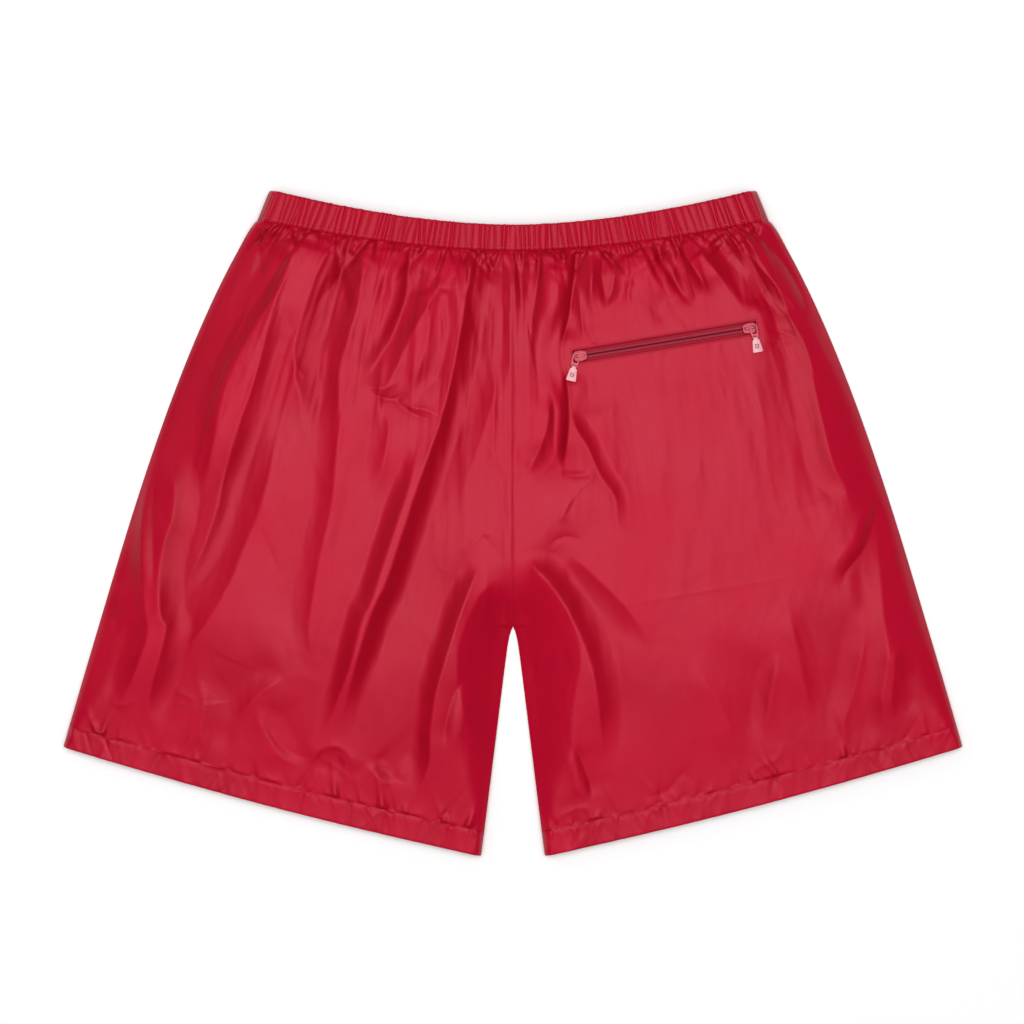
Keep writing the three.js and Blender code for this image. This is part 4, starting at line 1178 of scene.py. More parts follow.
class SHORTS_OT_waist_elastic(Operator):
    """Makes the ribbed elastic loop inside the waistband"""

    bl_idname = "shorts.waist_elastic"
    bl_label = "Waist Elastic"

    def execute(self, context):
        material = cloth_material(
            "Elastic", (0.72, 0.69, 0.66), (0.5, 0.48, 0.45), 0.8, 900.0, 300.0, weave=0.4, sheen=0.2
        )
        turn = np.linspace(0, 2 * np.pi, 520, endpoint=False)
        u = np.cos(turn)
        front = np.sin(turn) < 0
        section = [
            (1.25, 0.10), (1.1, 0.3), (1.1, 0.5), (1.1, 0.7), (1.25, 0.84), (2.1, 0.84), (2.25, 0.7), (2.25, 0.5),
            (2.25, 0.3), (2.1, 0.10),
        ]
        rows = []
        for number, (depth, h) in enumerate(section + section[:1]):
            curve = np.abs(u) ** WAIST_CURVE
            low, high = lerp(SEAM_CENTRE_Y, SEAM_SIDE_Y, curve), lerp(TOP_Y - WAIST_DIP, TOP_Y, curve)
            rib = 0.05 * np.sin(np.arange(len(turn)) * np.pi / 2) if 0 < number % 10 < 9 else 0.0
            reach = np.clip(lerp(SEAM_HALF, WAIST_HALF, h) - depth, 0, None)
            rows.append(np.stack([u * reach, lerp(low, high, h), band_level(np.abs(u), depth + rib, front)], axis=-1))
        mesh = grid_mesh("waist_elastic_web", np.array(rows), closed_columns=True)
        tidy(mesh)
        piece = new_piece("waist_elastic_web", mesh, material, replaces=["waist_elastic"])
        return {"FINISHED"}


def tidy(mesh):
    """Merges doubles and turns all faces outwards."""
    clean_mesh(mesh, merge=1e-6, fill=False)
    return mesh


class SHORTS_OT_hems(Operator):
    """Makes the turned-up hem of each leg, puckered along its stitches"""

    bl_idname = "shorts.hems"
    bl_label = "Hems"

    def execute(self, context):
        for is_left in (True, False):
            side = "left" if is_left else "right"
            piece = new_piece(f"hem_cloth_{side}", hem_mesh(is_left), nylon(), replaces=[f"hem_{side}"])
        return {"FINISHED"}


def hem_mesh(is_left):
    cloth = bpy.context.scene.shorts_cloth
    rng = np.random.default_rng(cloth.seed + (21 if is_left else 22))
    turn = np.linspace(0, 2 * np.pi, 560, endpoint=False)
    across = np.clip(2 * np.abs(turn / np.pi - 1) - 1, -1, 1) * 0.8 + 0.2 * np.cos(turn)
    upper = turn < np.pi
    height = np.concatenate([np.linspace(1, 0.06, 13), [0.015, 0.0, 0.0, 0.015], np.linspace(0.06, 1, 7)])
    depth = np.concatenate([np.zeros(13), [0.25, 0.7, 1.2, 1.65], np.full(7, 1.9)])
    aa, hh = np.meshgrid(across, height)
    dd = depth[:, None] + 0 * aa
    up = np.broadcast_to(upper, aa.shape)
    v = hh * HEM_V
    half_width = width_at(v) / 2
    u = np.clip(0.5 + aa / 2 * (1 - dd / half_width), 0, 1)
    x, y = panel_point(u, v)
    rise = swell((1 - np.abs(aa)) * half_width / roll_at(v))
    seam = seam_at(v)
    reach = np.where(up, loft_at(v) - seam - dd, -(seam - dd))
    lateral = u * width_at(v)
    upper_rng, lower_rng = (
        np.random.default_rng(cloth.seed + 31 + is_left), np.random.default_rng(cloth.seed + 35 + is_left)
    )
    from_seam = HEM_HEIGHT - hh * HEM_HEIGHT
    upper = hem_puckers(upper_rng, lateral, from_seam, 0.8)
    lower = hem_puckers(lower_rng, lateral, from_seam, 0.5)
    pucker = np.where(up, upper, lower)
    edge = np.where(up, hem_puckers(rng, lateral, hh * HEM_HEIGHT, 0.35), 0)
    wave = 0.3 * np.sin(lateral / 17.0 + 3 * np.sin(lateral / 41.0)) * rise
    stitch = -0.2 * np.exp(-(((hh - HEM_STITCH) / 0.06) ** 2))
    swollen = (pucker + edge + wave + stitch) * rise * smooth(2.0 - dd, 0, 1.2) * smooth(HEM_HEIGHT * (1 - hh), 0, 2.0)
    swollen -= 0.1 * np.exp(-((HEM_HEIGHT * (1 - hh) / 1.2) ** 2))
    z = seam + reach * rise + np.where(up, swollen, np.abs(pucker) * rise * 0.5)
    z = np.maximum(z, 0.02)
    x = -x if is_left else x
    flat = np.stack([lateral + np.where(up, 0, 400), hh * HEM_HEIGHT + dd * 10], axis=-1)
    # Painted shade: crest follows the puckers, so their hollows and the stitch line are mixed toward the fold shade
    # colour.
    mesh = grid_mesh(f"hem_cloth_{'left' if is_left else 'right'}", np.stack([x, y, z], axis=-1), flat=flat,
                     values=np.clip(0.82 + swollen / 3, 0, 1), closed_columns=True, flip=not is_left)
    return mesh


def strip_sheet(name, place, rows, columns, material, node, thick=0.5):
    """A sewn strip: place(across, along) gives the middle of its cloth, and it is as thick as an overlocked edge."""
    aa, ll = np.meshgrid(np.linspace(0, 1, columns), np.linspace(0, 1, rows))
    x, y, z = place(aa, ll)
    loops = 0.12 * np.sin(ll * rows * 1.9) * smooth(aa, 0.6, 1)
    top = np.stack([x, y, z + thick / 2 + loops], axis=-1)
    under = np.stack([x, y, z - thick / 2 + loops], axis=-1)[:, ::-1]
    ring = np.concatenate([top, under], axis=1)
    # Painted shade: no crest values are given, so a nylon strip shows in the full fold shade colour.
    mesh = grid_mesh(name, ring, closed_columns=True)
    clean_mesh(mesh)
    piece = new_piece(name, mesh, material, replaces=[node])


class SHORTS_OT_seam_allowances(Operator):
    """Makes the overlocked edges inside the seams"""

    bl_idname = "shorts.seam_allowances"
    bl_label = "Seam Allowances"

    def execute(self, context):
        def edge_strip(is_side, is_left, low, high):
            def place(across, along):
                v = lerp(low, high, along)
                inset = 3.5 + 8.0 * (1 - across if is_side else across)
                share = inset / width_at(v)
                u = 1 - share if is_side else share
                x, y = panel_point(u, v)
                side, inner = edge_distances(u, v)
                under = seam_at(v) * (1 - swell(side / roll_at(v)) * swell(inner / roll_at(v)))
                return (-x if is_left else x), y, under + 1.95 + 0 * x
            return place

        for is_left in (True, False):
            side = "left" if is_left else "right"
            strip_sheet(
                f"side_seam_edge_{side}", edge_strip(True, is_left, 0.13, 0.955), 130, 5, nylon(),
                f"side_allowance_{side}",
            )
            strip_sheet(
                f"inseam_edge_{side}", edge_strip(False, is_left, 0.13, 0.31), 50, 5, nylon(),
                f"inseam_allowance_{side}",
            )

        def centre_back(across, along):
            v = lerp(0.44, 0.994, along)
            _, y = panel_point(0 * v, v)
            return -(0.4 + 7.6 * (1 - across)), y, back_height(0 * v, v) - 2.9

        def centre_front(across, along):
            v = lerp(0.44, 0.955, along)
            _, y = panel_point(0 * v, v)
            return 0.4 + 7.6 * across, y, front_height(0 * v, v) + 1.9

        strip_sheet("centre_back_edge", centre_back, 140, 5, nylon(), "centre_back_allowance")
        strip_sheet(
            "centre_front_edge", centre_front, 120, 5, nylon(), "centre_front_allowance"
        )
        return {"FINISHED"}


class SHORTS_OT_care_label(Operator):
    """Makes the blank label that hangs inside the centre back"""

    bl_idname = "shorts.care_label"
    bl_label = "Care Label"

    def execute(self, context):
        low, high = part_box("care_label")

        def place(across, along):
            y = lerp(low.y, high.y, along) / MM
            v = FORK + (y - CROTCH_Y) / (SEAM_CENTRE_Y - CROTCH_Y) * (1 - FORK)
            curl = 0.5 * (2 * across - 1) ** 2 * (1 - along)
            return (
                lerp(low.x, high.x, across) / MM, y,
                back_height(0 * v, v) - 4.3 + 0.5 * np.sin(along * 5) * (1 - along) - curl
            )

        satin = cloth_material(
            "Label satin", (0.86, 0.83, 0.78), (0.7, 0.67, 0.6), 0.45, 2600.0, 160.0, weave=0.2, sheen=0.3
        )
        strip_sheet(
            "care_label_cloth", place, 18, 12, satin, "care_label",
            thick=0.25,
        )
        return {"FINISHED"}


class SHORTS_OT_pocket_bag(Operator):
    """Makes the two sides of the pocket bag under the back panel"""

    bl_idname = "shorts.pocket_bag"
    bl_label = "Pocket Bag"

    def execute(self, context):
        for name, node, is_top in (
            ("bag_cloth_outer", "pocket_bag_outer", True), ("bag_cloth_inner", "pocket_bag_inner", False)
        ):
            top = -WINDOW_WIDTH / 2 - 0.4 if is_top else WINDOW_WIDTH / 2 + 9
            ll, aa = np.meshgrid(np.linspace(-BAG_WIDTH / 2, BAG_WIDTH / 2, 90), np.linspace(-BAG_DEPTH, top, 120))
            ends = smooth(BAG_WIDTH / 2 - np.abs(ll), 0, 12) * smooth(aa + BAG_DEPTH, 0, 14)
            ripple = crumple_at(ll, aa, 30, 1.5, 12.0 if is_top else 15.0)
            if is_top:
                z = BAG_TOP - 0.3 - 0.7 * ends * (0.5 + ripple) * smooth(-aa, 8, 30)
            else:
                z = (
                    lerp(BAG_TOP - 0.9, BAG_FLOOR + 0.4, ends * smooth(WINDOW_WIDTH / 2 - aa, -2, 14))
                    + 0.8 * ends * ripple
                )
                # The corners beside the zip hang clear of the back cloth.
                z = np.maximum(z - 5 * smooth(np.abs(ll), 66, 80) * smooth(aa, -12, 8), BAG_FLOOR)
            x, y = zip_place(ll, aa)
            mesh = grid_mesh(name, np.stack([x, y, z], axis=-1), values=np.full(x.shape, 0.6))
            piece = new_piece(name, mesh, lining(), replaces=[node])
        return {"FINISHED"}


# ---- Zip ----
def round_corner_path(half_x, half_y, step=1.5):
    """Points of the window's edge, corner to corner, with the direction that leads out of the window."""
    points, outs = [], []
    for (ax, ay), (bx, by), (nx, ny) in (
        ((-half_x, -half_y), (half_x, -half_y), (0, -1)),
        ((half_x, -half_y), (half_x, half_y), (1, 0)),
        ((half_x, half_y), (-half_x, half_y), (0, 1)),
        ((-half_x, half_y), (-half_x, -half_y), (-1, 0)),
    ):
        count = max(2, int(math.hypot(bx - ax, by - ay) / step))
        for i in range(count):
            t = i / count
            points.append((lerp(ax, bx, t), lerp(ay, by, t)))
            outs.append((nx, ny) if i else (math.copysign(1, ax), math.copysign(1, ay)))
    return np.array(points), np.array(outs, float)


class SHORTS_OT_window_facing(Operator):
    """Makes the facing that is turned in round the pocket window, with its rounded lip"""

    bl_idname = "shorts.window_facing"
    bl_label = "Window Facing"

    def execute(self, context):
        path, outs = round_corner_path(WINDOW_LENGTH / 2, WINDOW_WIDTH / 2)
        section = [
            (7.6, 19.45), (5.0, 20.15), (2.4, 20.55), (0.7, 20.6), (0.0, 20.55), (-0.3, 20.75), (-0.45, 21.15),
            (-0.38, 21.6), (-0.1, 21.98), (0.35, 22.13), (0.85, 22.12), (1.25, 21.98),
        ]
        wobble = 0.06 * np.sin(np.arange(len(path)) * 1.7) + 0.05 * np.sin(np.arange(len(path)) * 0.61)
        rows = []
        for off, z in section:
            along, across = path[:, 0] + outs[:, 0] * off, path[:, 1] + outs[:, 1] * off
            x, y = zip_place(along, across)
            rows.append(np.stack([x, y, z + wobble * (z > 21)], axis=-1))
        # Painted shade: a steady crest of 0.7 mixes the facing round the window about a third of the way toward the
        # fold shade colour.
        mesh = grid_mesh(
            "window_facing_cloth", np.array(rows), closed_columns=True, values=np.full((len(section), len(path)), 0.7)
        )
        face_out(mesh)
        piece = new_piece("window_facing_cloth", mesh, nylon(), replaces=["window_facing"])
        return {"FINISHED"}


def face_out(mesh):
    """Turns an open sheet so that most of it faces upwards."""
    edited = bmesh.new()
    edited.from_mesh(mesh)
    bmesh.ops.recalc_face_normals(edited, faces=edited.faces)
    if sum(f.normal.z * f.calc_area() for f in edited.faces if f.calc_center_median().z > 21.5 * MM) < 0:
        bmesh.ops.reverse_faces(edited, faces=edited.faces)
    edited.to_mesh(mesh)
    edited.free()


class SHORTS_OT_zip_tapes(Operator):
    """Makes the two woven tapes of the zip"""

    bl_idname = "shorts.zip_tapes"
    bl_label = "Zip Tapes"

    def execute(self, context):
        tape = cloth_material(
            "Zip tape", tuple(context.scene.shorts_zip.tape_colour), (0.1, 0.002, 0.008), 0.75, 1400.0, 200.0,
            weave=0.5, sheen=0.15,
        )
        half = WINDOW_LENGTH / 2 + 6.4
        for side, name in ((1, "upper"), (-1, "lower")):
            section = [(0.75, TAPE_UNDER + 0.1), (0.62, 17.5), (0.75, TAPE_TOP - 0.05), (3.0, TAPE_TOP),
                       (7.5, TAPE_TOP - 0.08), (12.2, TAPE_TOP),
                       (12.45, 17.5), (12.2, TAPE_UNDER), (7.5, TAPE_UNDER + 0.05), (3.0, TAPE_UNDER)]
            along = np.linspace(-half, half, 220)
            rows = []
            for off, z in section + section[:1]:
                rib = 0.03 * np.sin(along * 4.4) * (0.9 < off < 12)
                x, y = zip_place(along, side * off + 0 * along)
                rows.append(np.stack([x, y, z + rib], axis=-1))
            mesh = grid_mesh(f"zip_tape_cloth_{name}", np.array(rows))
            clean_mesh(mesh, merge=1e-6)
            piece = new_piece(f"zip_tape_cloth_{name}", mesh, tape, replaces=[f"zip_tape_{name}"])
        return {"FINISHED"}


def repeat_tree(name, material):
    """A tree that sets copies of a small piece along a path, square to it, a set pitch apart."""
    tree = bpy.data.node_groups.new(name, "GeometryNodeTree")
    tree.interface.new_socket("Path", in_out="INPUT", socket_type="NodeSocketGeometry")
    for socket, kind, value in (
        ("Piece", "NodeSocketObject", None),
        ("Pitch", "NodeSocketFloat", 0.0026),
        ("Scale", "NodeSocketFloat", 1.0),
        ("Unevenness", "NodeSocketFloat", 0.06),
        ("Seed", "NodeSocketInt", 3),
    ):
        made = tree.interface.new_socket(socket, in_out="INPUT", socket_type=kind)
        if value is not None:
            made.default_value = value
    tree.interface.new_socket("Mesh", in_out="OUTPUT", socket_type="NodeSocketGeometry")
    source, out = tree.nodes.new("NodeGroupInput"), tree.nodes.new("NodeGroupOutput")
    link = tree.links.new
    curve = add(tree, "GeometryNodeMeshToCurve")
    link(source.outputs["Path"], curve.inputs["Mesh"])
    resampled = add(tree, "GeometryNodeResampleCurve", mode="LENGTH")
    link(curve.outputs[0], resampled.inputs["Curve"])
    link(source.outputs["Pitch"], resampled.inputs["Length"])
    shape = add(tree, "GeometryNodeObjectInfo")
    link(source.outputs["Piece"], shape.inputs["Object"])
    tangent = add(tree, "GeometryNodeInputTangent")
    turned = add(tree, "FunctionNodeAlignRotationToVector", axis="X")
    link(tangent.outputs[0], turned.inputs["Vector"])
    uneven = add(tree, "FunctionNodeRandomValue", data_type="FLOAT")
    link(source.outputs["Seed"], uneven.inputs["Seed"])
    low = add(tree, "ShaderNodeMath", operation="SUBTRACT")
    link(source.outputs["Scale"], low.inputs[0])
    link(source.outputs["Unevenness"], low.inputs[1])
    link(low.outputs[0], uneven.inputs[2])
    link(source.outputs["Scale"], uneven.inputs[3])
    placed = add(tree, "GeometryNodeInstanceOnPoints")
    link(resampled.outputs[0], placed.inputs["Points"])
    link(shape.outputs["Geometry"], placed.inputs["Instance"])
    link(turned.outputs[0], placed.inputs["Rotation"])
    link(uneven.outputs[1], placed.inputs["Scale"])
    real = add(tree, "GeometryNodeRealizeInstances")
    link(placed.outputs[0], real.inputs[0])
    painted = add(tree, "GeometryNodeSetMaterial")
    painted.inputs["Material"].default_value = material
    link(real.outputs[0], painted.inputs[0])
    link(painted.outputs[0], out.inputs[0])
    return tree


def repeated_along(name, lines, unit, material, slot, body="garment", replaces=(), **values):
    """Copies of the unit mesh along the lines, as one plain mesh. The lines are in millimetres."""
    path = bpy.data.meshes.new(name + "_path")
    points, edges = [], []
    for line in lines:
        start = len(points)
        points += (np.array(line) * MM).tolist()
        edges += [(i, i + 1) for i in range(start, len(points) - 1)]
    path.from_pydata(points, edges, [])
    holder = bpy.data.objects.new(name + "_path", path)
    sample = bpy.data.objects.new(name + "_unit", unit)
    for o in (holder, sample):
        bpy.context.scene.collection.objects.link(o)
    tree = repeat_tree(name + " along a path", material)
    modifier = holder.modifiers.new("Repeat", "NODES")
    modifier.node_group = tree
    for socket in tree.interface.items_tree:
        if socket.item_type == "SOCKET" and socket.in_out == "INPUT" and socket.name != "Path":
            if socket.name == "Piece":
                modifier[socket.identifier] = sample
            elif socket.name in values:
                modifier[socket.identifier] = values[socket.name]
    sample.hide_render = True
    evaluated = holder.evaluated_get(bpy.context.evaluated_depsgraph_get())
    mesh = bpy.data.meshes.new_from_object(evaluated)
    mesh.name = name
    holder.modifiers.remove(modifier)
    bpy.data.objects.remove(holder)
    bpy.data.objects.remove(sample)
    if not len(mesh.polygons):
        raise RuntimeError(f"{name}: nothing was repeated along its path")
    mesh.shade_smooth()
    return new_piece(name, mesh, material, body=body, replaces=replaces)


def bead_mesh(name, length, width, height, sides=8, rings=5, square=2.6):
    """A closed rounded bar along X, as long, wide and high as given, in millimetres."""
    verts, faces = [(-length / 2, 0, 0)], []
    for r in range(rings):
        s = (r + 0.5) / rings * 2 - 1
        wide = (1 - abs(s) ** square) ** (1 / square)
        for k in range(sides):
            a = 2 * math.pi * (k + 0.5) / sides
            verts.append((s * length / 2, math.cos(a) * wide * width / 2, math.sin(a) * wide * height / 2))
    verts.append((length / 2, 0, 0))
    last = len(verts) - 1
    for k in range(sides):
        n = (k + 1) % sides
        faces.append((0, 1 + n, 1 + k))
        for r in range(rings - 1):
            a, b = 1 + r * sides, 1 + (r + 1) * sides
            faces.append((a + k, a + n, b + n, b + k))
        faces.append((last - sides + k, last - sides + n, last))
    mesh = bpy.data.meshes.new(name)
    mesh.from_pydata([(x * MM, y * MM, z * MM) for x, y, z in verts], [], faces)
    return tidy(mesh)


class SHORTS_OT_zip_coils(Operator):
    """Makes the teeth of both rows of the coil, with the stitches that hold them"""

    bl_idname = "shorts.zip_coils"
    bl_label = "Zip Coils"

    def execute(self, context):
        zip_settings = context.scene.shorts_zip
        pitch = zip_settings.tooth_pitch
        nylon_coil = coil_nylon()
        half = WINDOW_LENGTH / 2
        for side, name in ((1, "upper"), (-1, "lower")):
            shift = pitch / MM / 4 * side
            line = [(*zip_place(a, side * 1.52), 19.08) for a in (-half + 0.8 + shift, half - 0.8 + shift)]
            tooth = bead_mesh("tooth_" + name, pitch / MM * 0.86, 3.0, 1.9, sides=10, rings=5)
            repeated_along(
                f"zip_teeth_{name}", [line], tooth, nylon_coil, "zip_coil", replaces=[f"zip_coil_{name}"], Pitch=pitch,
                Scale=1.0, Unevenness=0.0,
            )
        thread = thread_material("Coil thread", tint(tuple(context.scene.shorts_cloth.thread_colour), 1.25))
        rows = []
        for off in (-2.25, -1.35, 1.35, 2.25):
            high = 20.06 if abs(off) < 2 else 19.86
            rows.append([(*zip_place(a, off), high) for a in np.linspace(-half + 1, half - 1, 40)])
        chain = bead_mesh("coil_stitch", 1.5, 0.36, 0.3, sides=6, rings=4)
        repeated_along("zip_coil_stitches", rows, chain, thread, "zip_coil", Pitch=pitch, Scale=1.0, Unevenness=0.05)
        return {"FINISHED"}


# ---- Hardware ----
def detailed_copy(node, name, material, bevel, segments=3, angle=28.0, flatten=1.0):
    """The CAD part's own shape with its edges rounded as cast and polished metal has them."""
    body = frame["nodes"][node]["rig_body"]
    mesh = frame["nodes"][node].data.copy()
    mesh.name = name
    edited = bmesh.new()
    edited.from_mesh(mesh)
    bmesh.ops.remove_doubles(edited, verts=edited.verts, dist=2e-6)
    bmesh.ops.dissolve_limit(edited, angle_limit=math.radians(flatten), verts=edited.verts, edges=edited.edges)
    sharp = [e for e in edited.edges if e.is_manifold and e.calc_face_angle(0) > math.radians(angle)]
    bmesh.ops.bevel(
        edited, geom=sharp, offset=bevel * MM, offset_type="OFFSET", segments=segments, profile=0.5, affect="EDGES",
        clamp_overlap=True,
    )
    bmesh.ops.remove_doubles(edited, verts=edited.verts, dist=1e-7)
    bmesh.ops.triangulate(edited, faces=[f for f in edited.faces if len(f.verts) > 4])
    bmesh.ops.recalc_face_normals(edited, faces=edited.faces)
    edited.to_mesh(mesh)
    edited.free()
    mesh.shade_smooth()
    piece = new_piece(name, mesh, material, body=body, replaces=[node])
    piece.data.set_sharp_from_angle(angle=math.radians(SHARP_ANGLE))
    return piece


class SHORTS_OT_sliders(Operator):
    """Makes the two lacquered sliders and the stops at the chain's ends"""

    bl_idname = "shorts.sliders"
    bl_label = "Sliders"

    def execute(self, context):
        lacquer = slider_lacquer()
        for side in ("left", "right"):
            detailed_copy(f"slider_{side}", f"slider_body_{side}", lacquer, 0.16)
        stop = coil_nylon()
        for node in ("zip_stop_left", "zip_stop_right"):
            detailed_copy(node, node.replace("zip_stop", "zip_end_stop"), stop, 0.3)
        return {"FINISHED"}


class SHORTS_OT_pull_links(Operator):
    """Makes the ring links and the pins that the tabs hang on"""

    bl_idname = "shorts.pull_links"
    bl_label = "Pull Links"

    def execute(self, context):
        lacquer = slider_lacquer()
        steel = metal_material("Lacquered wire", (0.42, 0.10, 0.13), 0.6, 0.36, 0.3)
        for side in ("left", "right"):
            detailed_copy(f"pull_link_{side}", f"pull_ring_{side}", lacquer, 0.2)
            detailed_copy(f"pull_pin_{side}", f"pull_wire_{side}", steel, 0.06, segments=2)
        return {"FINISHED"}


class SHORTS_OT_pull_tabs(Operator):
    """Makes the two tapered tabs, each with a raised rim and a plain dark ladder mark"""

    bl_idname = "shorts.pull_tabs"
    bl_label = "Pull Tabs"

    def execute(self, context):
        pale = metal_material("Tab lacquer", tuple(context.scene.shorts_zip.tab_colour), 0.12, 0.42, 0.35, coat=0.0)
        enamel = metal_material("Tab enamel", (0.12, 0.03, 0.04), 0.1, 0.55, 0.3, coat=0.0)
        for side in ("left", "right"):
            detailed_copy(f"pull_tab_{side}", f"pull_plate_{side}", pale, 0.18)
            tab_motif(side, pale, enamel)
        return {"FINISHED"}


def tab_motif(side, pale, enamel):
    """A raised plain rim and a dark ladder of bars on both faces of a tab."""
    pin = next(j for j in frame["record"]["behaviour"]["joints"] if j["name"] == f"{side}_tab_lift")
    centre, axis = Vector(pin["pos_m"]), Vector(pin["axis"]).normalized()
    down = (
        Vector((axis.y, -axis.x, 0)) if Vector((axis.y, -axis.x, 0)).dot(Vector((0, -1, 0))) > 0
        else Vector((-axis.y, axis.x, 0))
    )
    edges, marks = bmesh.new(), bmesh.new()
    for face in (1, -1):
        height = face * 0.60
        outline = [(-2.1, 3.4), (2.1, 3.4), (2.9, 9.9), (-2.9, 9.9)]
        bars = [(outline[i], outline[(i + 1) % 4], 0.34, edges) for i in range(4)]
        bars += [((-1.2, 5.3 + 1.5 * k), (1.2, 5.3 + 1.5 * k), 0.7, marks) for k in range(3)]
        bars += [((-1.4, 5.0), (-1.4, 8.6), 0.55, marks), ((1.4, 5.0), (1.4, 8.6), 0.55, marks)]
        for a, b, width, parts in bars:
            length = math.hypot(b[0] - a[0], b[1] - a[1]) + 0.3
            bar = bead_mesh("bar", length, width, 0.2, sides=6, rings=4, square=6)
            made = bmesh.new()
            made.from_mesh(bar)
            turn = math.atan2(b[1] - a[1], b[0] - a[0])
            for vert in made.verts:
                along, across, z = vert.co / MM
                px = (a[0] + b[0]) / 2 + along * math.cos(turn) - across * math.sin(turn)
                py = (a[1] + b[1]) / 2 + along * math.sin(turn) + across * math.cos(turn)
                vert.co = centre + axis * (px * MM) + down * (py * MM) + Vector((0, 0, (height + z) * MM))
            bmesh.ops.recalc_face_normals(made, faces=made.faces)
            made.to_mesh(bar)
            made.free()
            parts.from_mesh(bar)
            bpy.data.meshes.remove(bar)
    for name, parts, material in ((f"pull_plate_rim_{side}", edges, pale), (f"pull_plate_mark_{side}", marks, enamel)):
        mesh = bpy.data.meshes.new(name)
        bmesh.ops.recalc_face_normals(parts, faces=parts.faces)
        parts.to_mesh(mesh)
        parts.free()
        mesh.shade_smooth()
        new_piece(name, mesh, material, body=f"{side}_tab")


# ---- Stitching ----
def on_cloth(piece, points, lift):
    """The points dropped straight down onto a piece, and lifted by half a thread."""
    placed = []
    for x, y in points:
        hit, where, _, _ = piece.ray_cast(Vector((x * MM, y * MM, 0.1)), Vector((0, 0, -1)))
        if hit:
            placed.append((x, y, where.z / MM + lift))
    return placed


class SHORTS_OT_stitching(Operator):
    """Sews the waist seam, the pocket window and the hems"""

    bl_idname = "shorts.stitching"
    bl_label = "Stitching"

    def execute(self, context):
        settings = context.scene.shorts_zip
        pitch, width = settings.stitch_length, settings.thread_width / MM
        thread = thread_material("Thread", tuple(context.scene.shorts_cloth.thread_colour))
        pieces = bpy.data.objects
        bpy.context.view_layer.update()

        def row(name, lines, seed):
            stitch = bead_mesh(name + "_stitch", pitch / MM * 0.86, width, width * 0.8, sides=6, rings=4)
            repeated_along(name, lines, stitch, thread, "nylon", Pitch=pitch, Scale=1.0, Unevenness=0.08, Seed=seed)

        path, outs = round_corner_path(WINDOW_LENGTH / 2, WINDOW_WIDTH / 2, 1.2)
        outline = path + outs * 2.0
        outline = np.vstack([outline, outline[:1]])
        row("window_stitches", [on_cloth(pieces["back_cloth_right"], [zip_place(*p) for p in outline], 0.06)], 5)
        waist, hems = [], []
        for is_left in (True, False):
            sign, side = (-1, "left") if is_left else (1, "right")
            u = np.linspace(0.002, 0.975, 420)
            curve = u**WAIST_CURVE
            y = lerp(lerp(SEAM_CENTRE_Y, SEAM_SIDE_Y, curve), lerp(TOP_Y - WAIST_DIP, TOP_Y, curve), WAIST_STITCH)
            x = sign * u * lerp(SEAM_HALF, WAIST_HALF, WAIST_STITCH)
            waist.append(on_cloth(pieces[f"waistband_cloth_{side}"], zip(x, y), 0.05))
            u = np.linspace(0.03, 0.975, 260)
            x, y = panel_point(u, np.full(u.shape, HEM_V * HEM_STITCH))
            hems.append(on_cloth(pieces[f"hem_cloth_{side}"], zip(sign * x, y), 0.05))
        row("waist_stitches", waist, 6)
        row("hem_stitches", hems, 7)
        return {"FINISHED"}


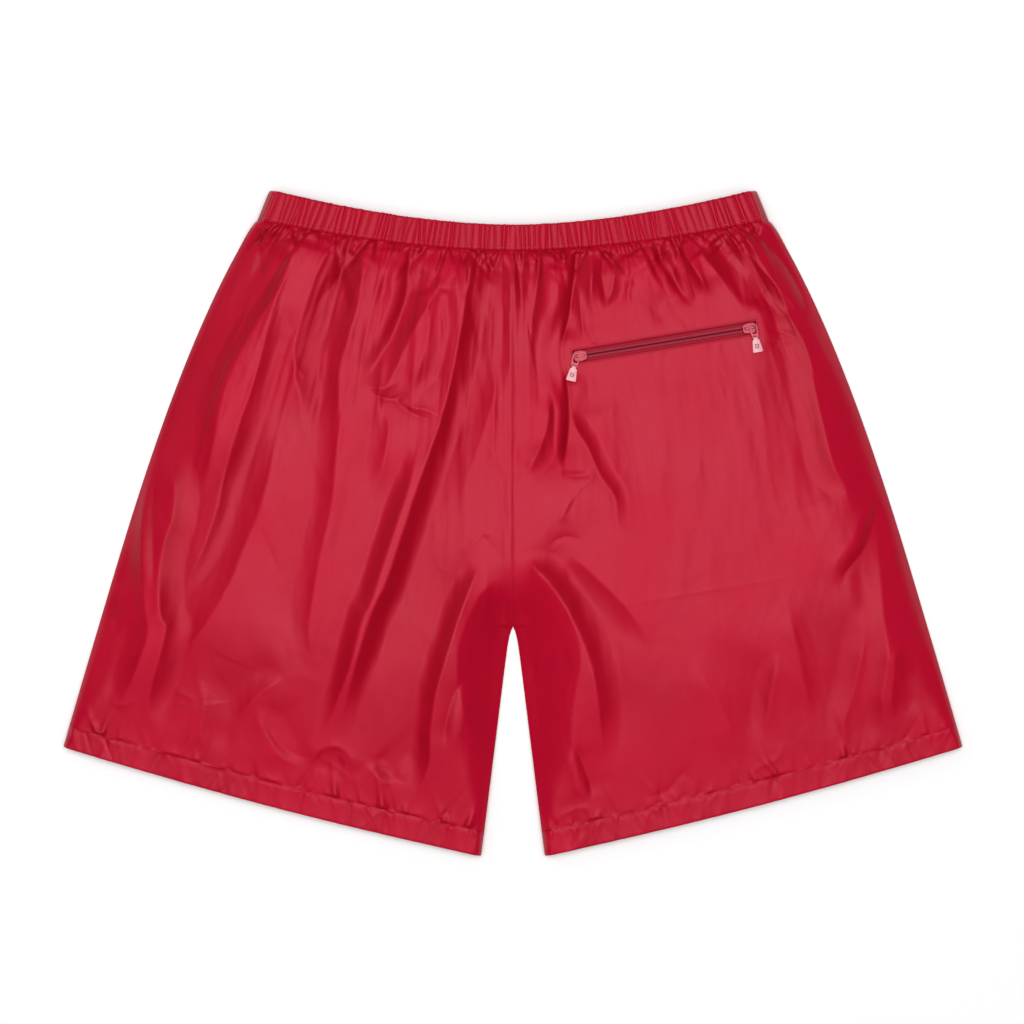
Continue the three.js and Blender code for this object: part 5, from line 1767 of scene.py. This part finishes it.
# ---- Stage ----
class SHORTS_OT_stage(Operator):
    """Makes the pale floor, the soft light and the camera"""

    bl_idname = "shorts.stage"
    bl_label = "Stage"

    def execute(self, context):
        stage = context.scene.shorts_stage
        mesh = bpy.data.meshes.new("floor")
        mesh.from_pydata([(-9, -9, -0.0002), (9, -9, -0.0002), (9, 9, -0.0002), (-9, 9, -0.0002)], [], [(0, 1, 2, 3)])
        floor = bpy.data.objects.new("floor", mesh)
        context.scene.collection.objects.link(floor)
        paint, tree, shader = blank_material("Floor", Roughness=0.8, Specular_IOR_Level=0.15)
        coordinates = add(tree, "ShaderNodeTexCoord")
        mottle = add(tree, "ShaderNodeTexNoise")
        mottle.inputs["Scale"].default_value = 3.0
        tree.links.new(coordinates.outputs["Object"], mottle.inputs["Vector"])
        colour = tuple(stage.floor_colour)
        tree.links.new(
            mixed_colour(tree, mottle.outputs[0], tint(colour, 0.99), tint(colour, 1.01)), shader.inputs["Base Color"]
        )
        mesh.materials.append(paint)

        world = bpy.data.worlds.new("Studio")
        world.use_nodes = True
        world.node_tree.nodes["Background"].inputs["Color"].default_value = (1, 1, 1, 1)
        world.node_tree.nodes["Background"].inputs["Strength"].default_value = stage.fill
        context.scene.world = world

        for name, power, size, place, aim in (
            ("overhead_softbox", stage.key_power, (1.5, 1.15), (0.02, 0.22, 2.6), (0.0, 0.0, 0.0)),
            ("side_fill", stage.key_power * 0.16, (1.2, 1.2), (-2.0, 1.2, 1.5), (0.0, 0.0, 0.0)),
        ):
            light = bpy.data.lights.new(name, "AREA")
            light.shape, light.size, light.size_y, light.energy = "RECTANGLE", size[0], size[1], power
            made = bpy.data.objects.new(name, light)
            made.location = place
            made.rotation_euler = (Vector(aim) - Vector(place)).to_track_quat("-Z", "Y").to_euler()
            made.visible_camera = False
            context.scene.collection.objects.link(made)

        light = bpy.data.lights.new("even_light", "SUN")
        light.energy, light.angle = stage.sky_light, math.radians(70)
        made = bpy.data.objects.new("even_light", light)
        made.location = (0, 0, 3)
        context.scene.collection.objects.link(made)

        camera = bpy.data.cameras.new("camera")
        camera.lens, camera.sensor_width = stage.camera_lens, 36.0
        camera.clip_start, camera.clip_end = 0.1, 30.0
        made = bpy.data.objects.new("camera", camera)
        made.location = (-0.0008, 0.0093, stage.camera_height)
        context.scene.collection.objects.link(made)
        context.scene.camera = made
        context.scene.view_settings.view_transform = "Standard"
        return {"FINISHED"}


# ---- Add-on ----
PIECES = (
    SHORTS_OT_stage, SHORTS_OT_back_panels, SHORTS_OT_front_panels, SHORTS_OT_waistband, SHORTS_OT_waist_elastic,
    SHORTS_OT_hems,
    SHORTS_OT_seam_allowances, SHORTS_OT_care_label, SHORTS_OT_pocket_bag, SHORTS_OT_zip_tapes, SHORTS_OT_window_facing,
    SHORTS_OT_zip_coils, SHORTS_OT_sliders, SHORTS_OT_pull_links, SHORTS_OT_pull_tabs, SHORTS_OT_stitching,
)


class SHORTS_PT_shorts(Panel):
    """Lists the pieces of the shorts in the sidebar"""

    bl_idname = "SHORTS_PT_shorts"
    bl_label = "Boxing Shorts"
    bl_space_type = "VIEW_3D"
    bl_region_type = "UI"
    bl_category = "Shorts"

    def draw(self, context):
        for operator in PIECES:
            self.layout.operator(operator.bl_idname)
        for settings in (context.scene.shorts_cloth, context.scene.shorts_zip, context.scene.shorts_stage):
            box = self.layout.box()
            for name in settings.__annotations__:
                box.prop(settings, name)


CLASSES = (ShortsCloth, ShortsZip, ShortsStage, *PIECES, SHORTS_PT_shorts)


def register():
    for c in CLASSES:
        bpy.utils.register_class(c)
    bpy.types.Scene.shorts_cloth = PointerProperty(type=ShortsCloth)
    bpy.types.Scene.shorts_zip = PointerProperty(type=ShortsZip)
    bpy.types.Scene.shorts_stage = PointerProperty(type=ShortsStage)


def unregister():
    del bpy.types.Scene.shorts_stage
    del bpy.types.Scene.shorts_zip
    del bpy.types.Scene.shorts_cloth
    for c in reversed(CLASSES):
        bpy.utils.unregister_class(c)


def main():
    register()
    for name in (
        "stage", "back_panels", "front_panels", "waistband", "waist_elastic", "hems", "seam_allowances", "care_label",
        "pocket_bag", "zip_tapes", "window_facing", "zip_coils", "sliders", "pull_links", "pull_tabs", "stitching",
    ):
        getattr(bpy.ops.shorts, name)()


if __name__ == "__main__":
    main()
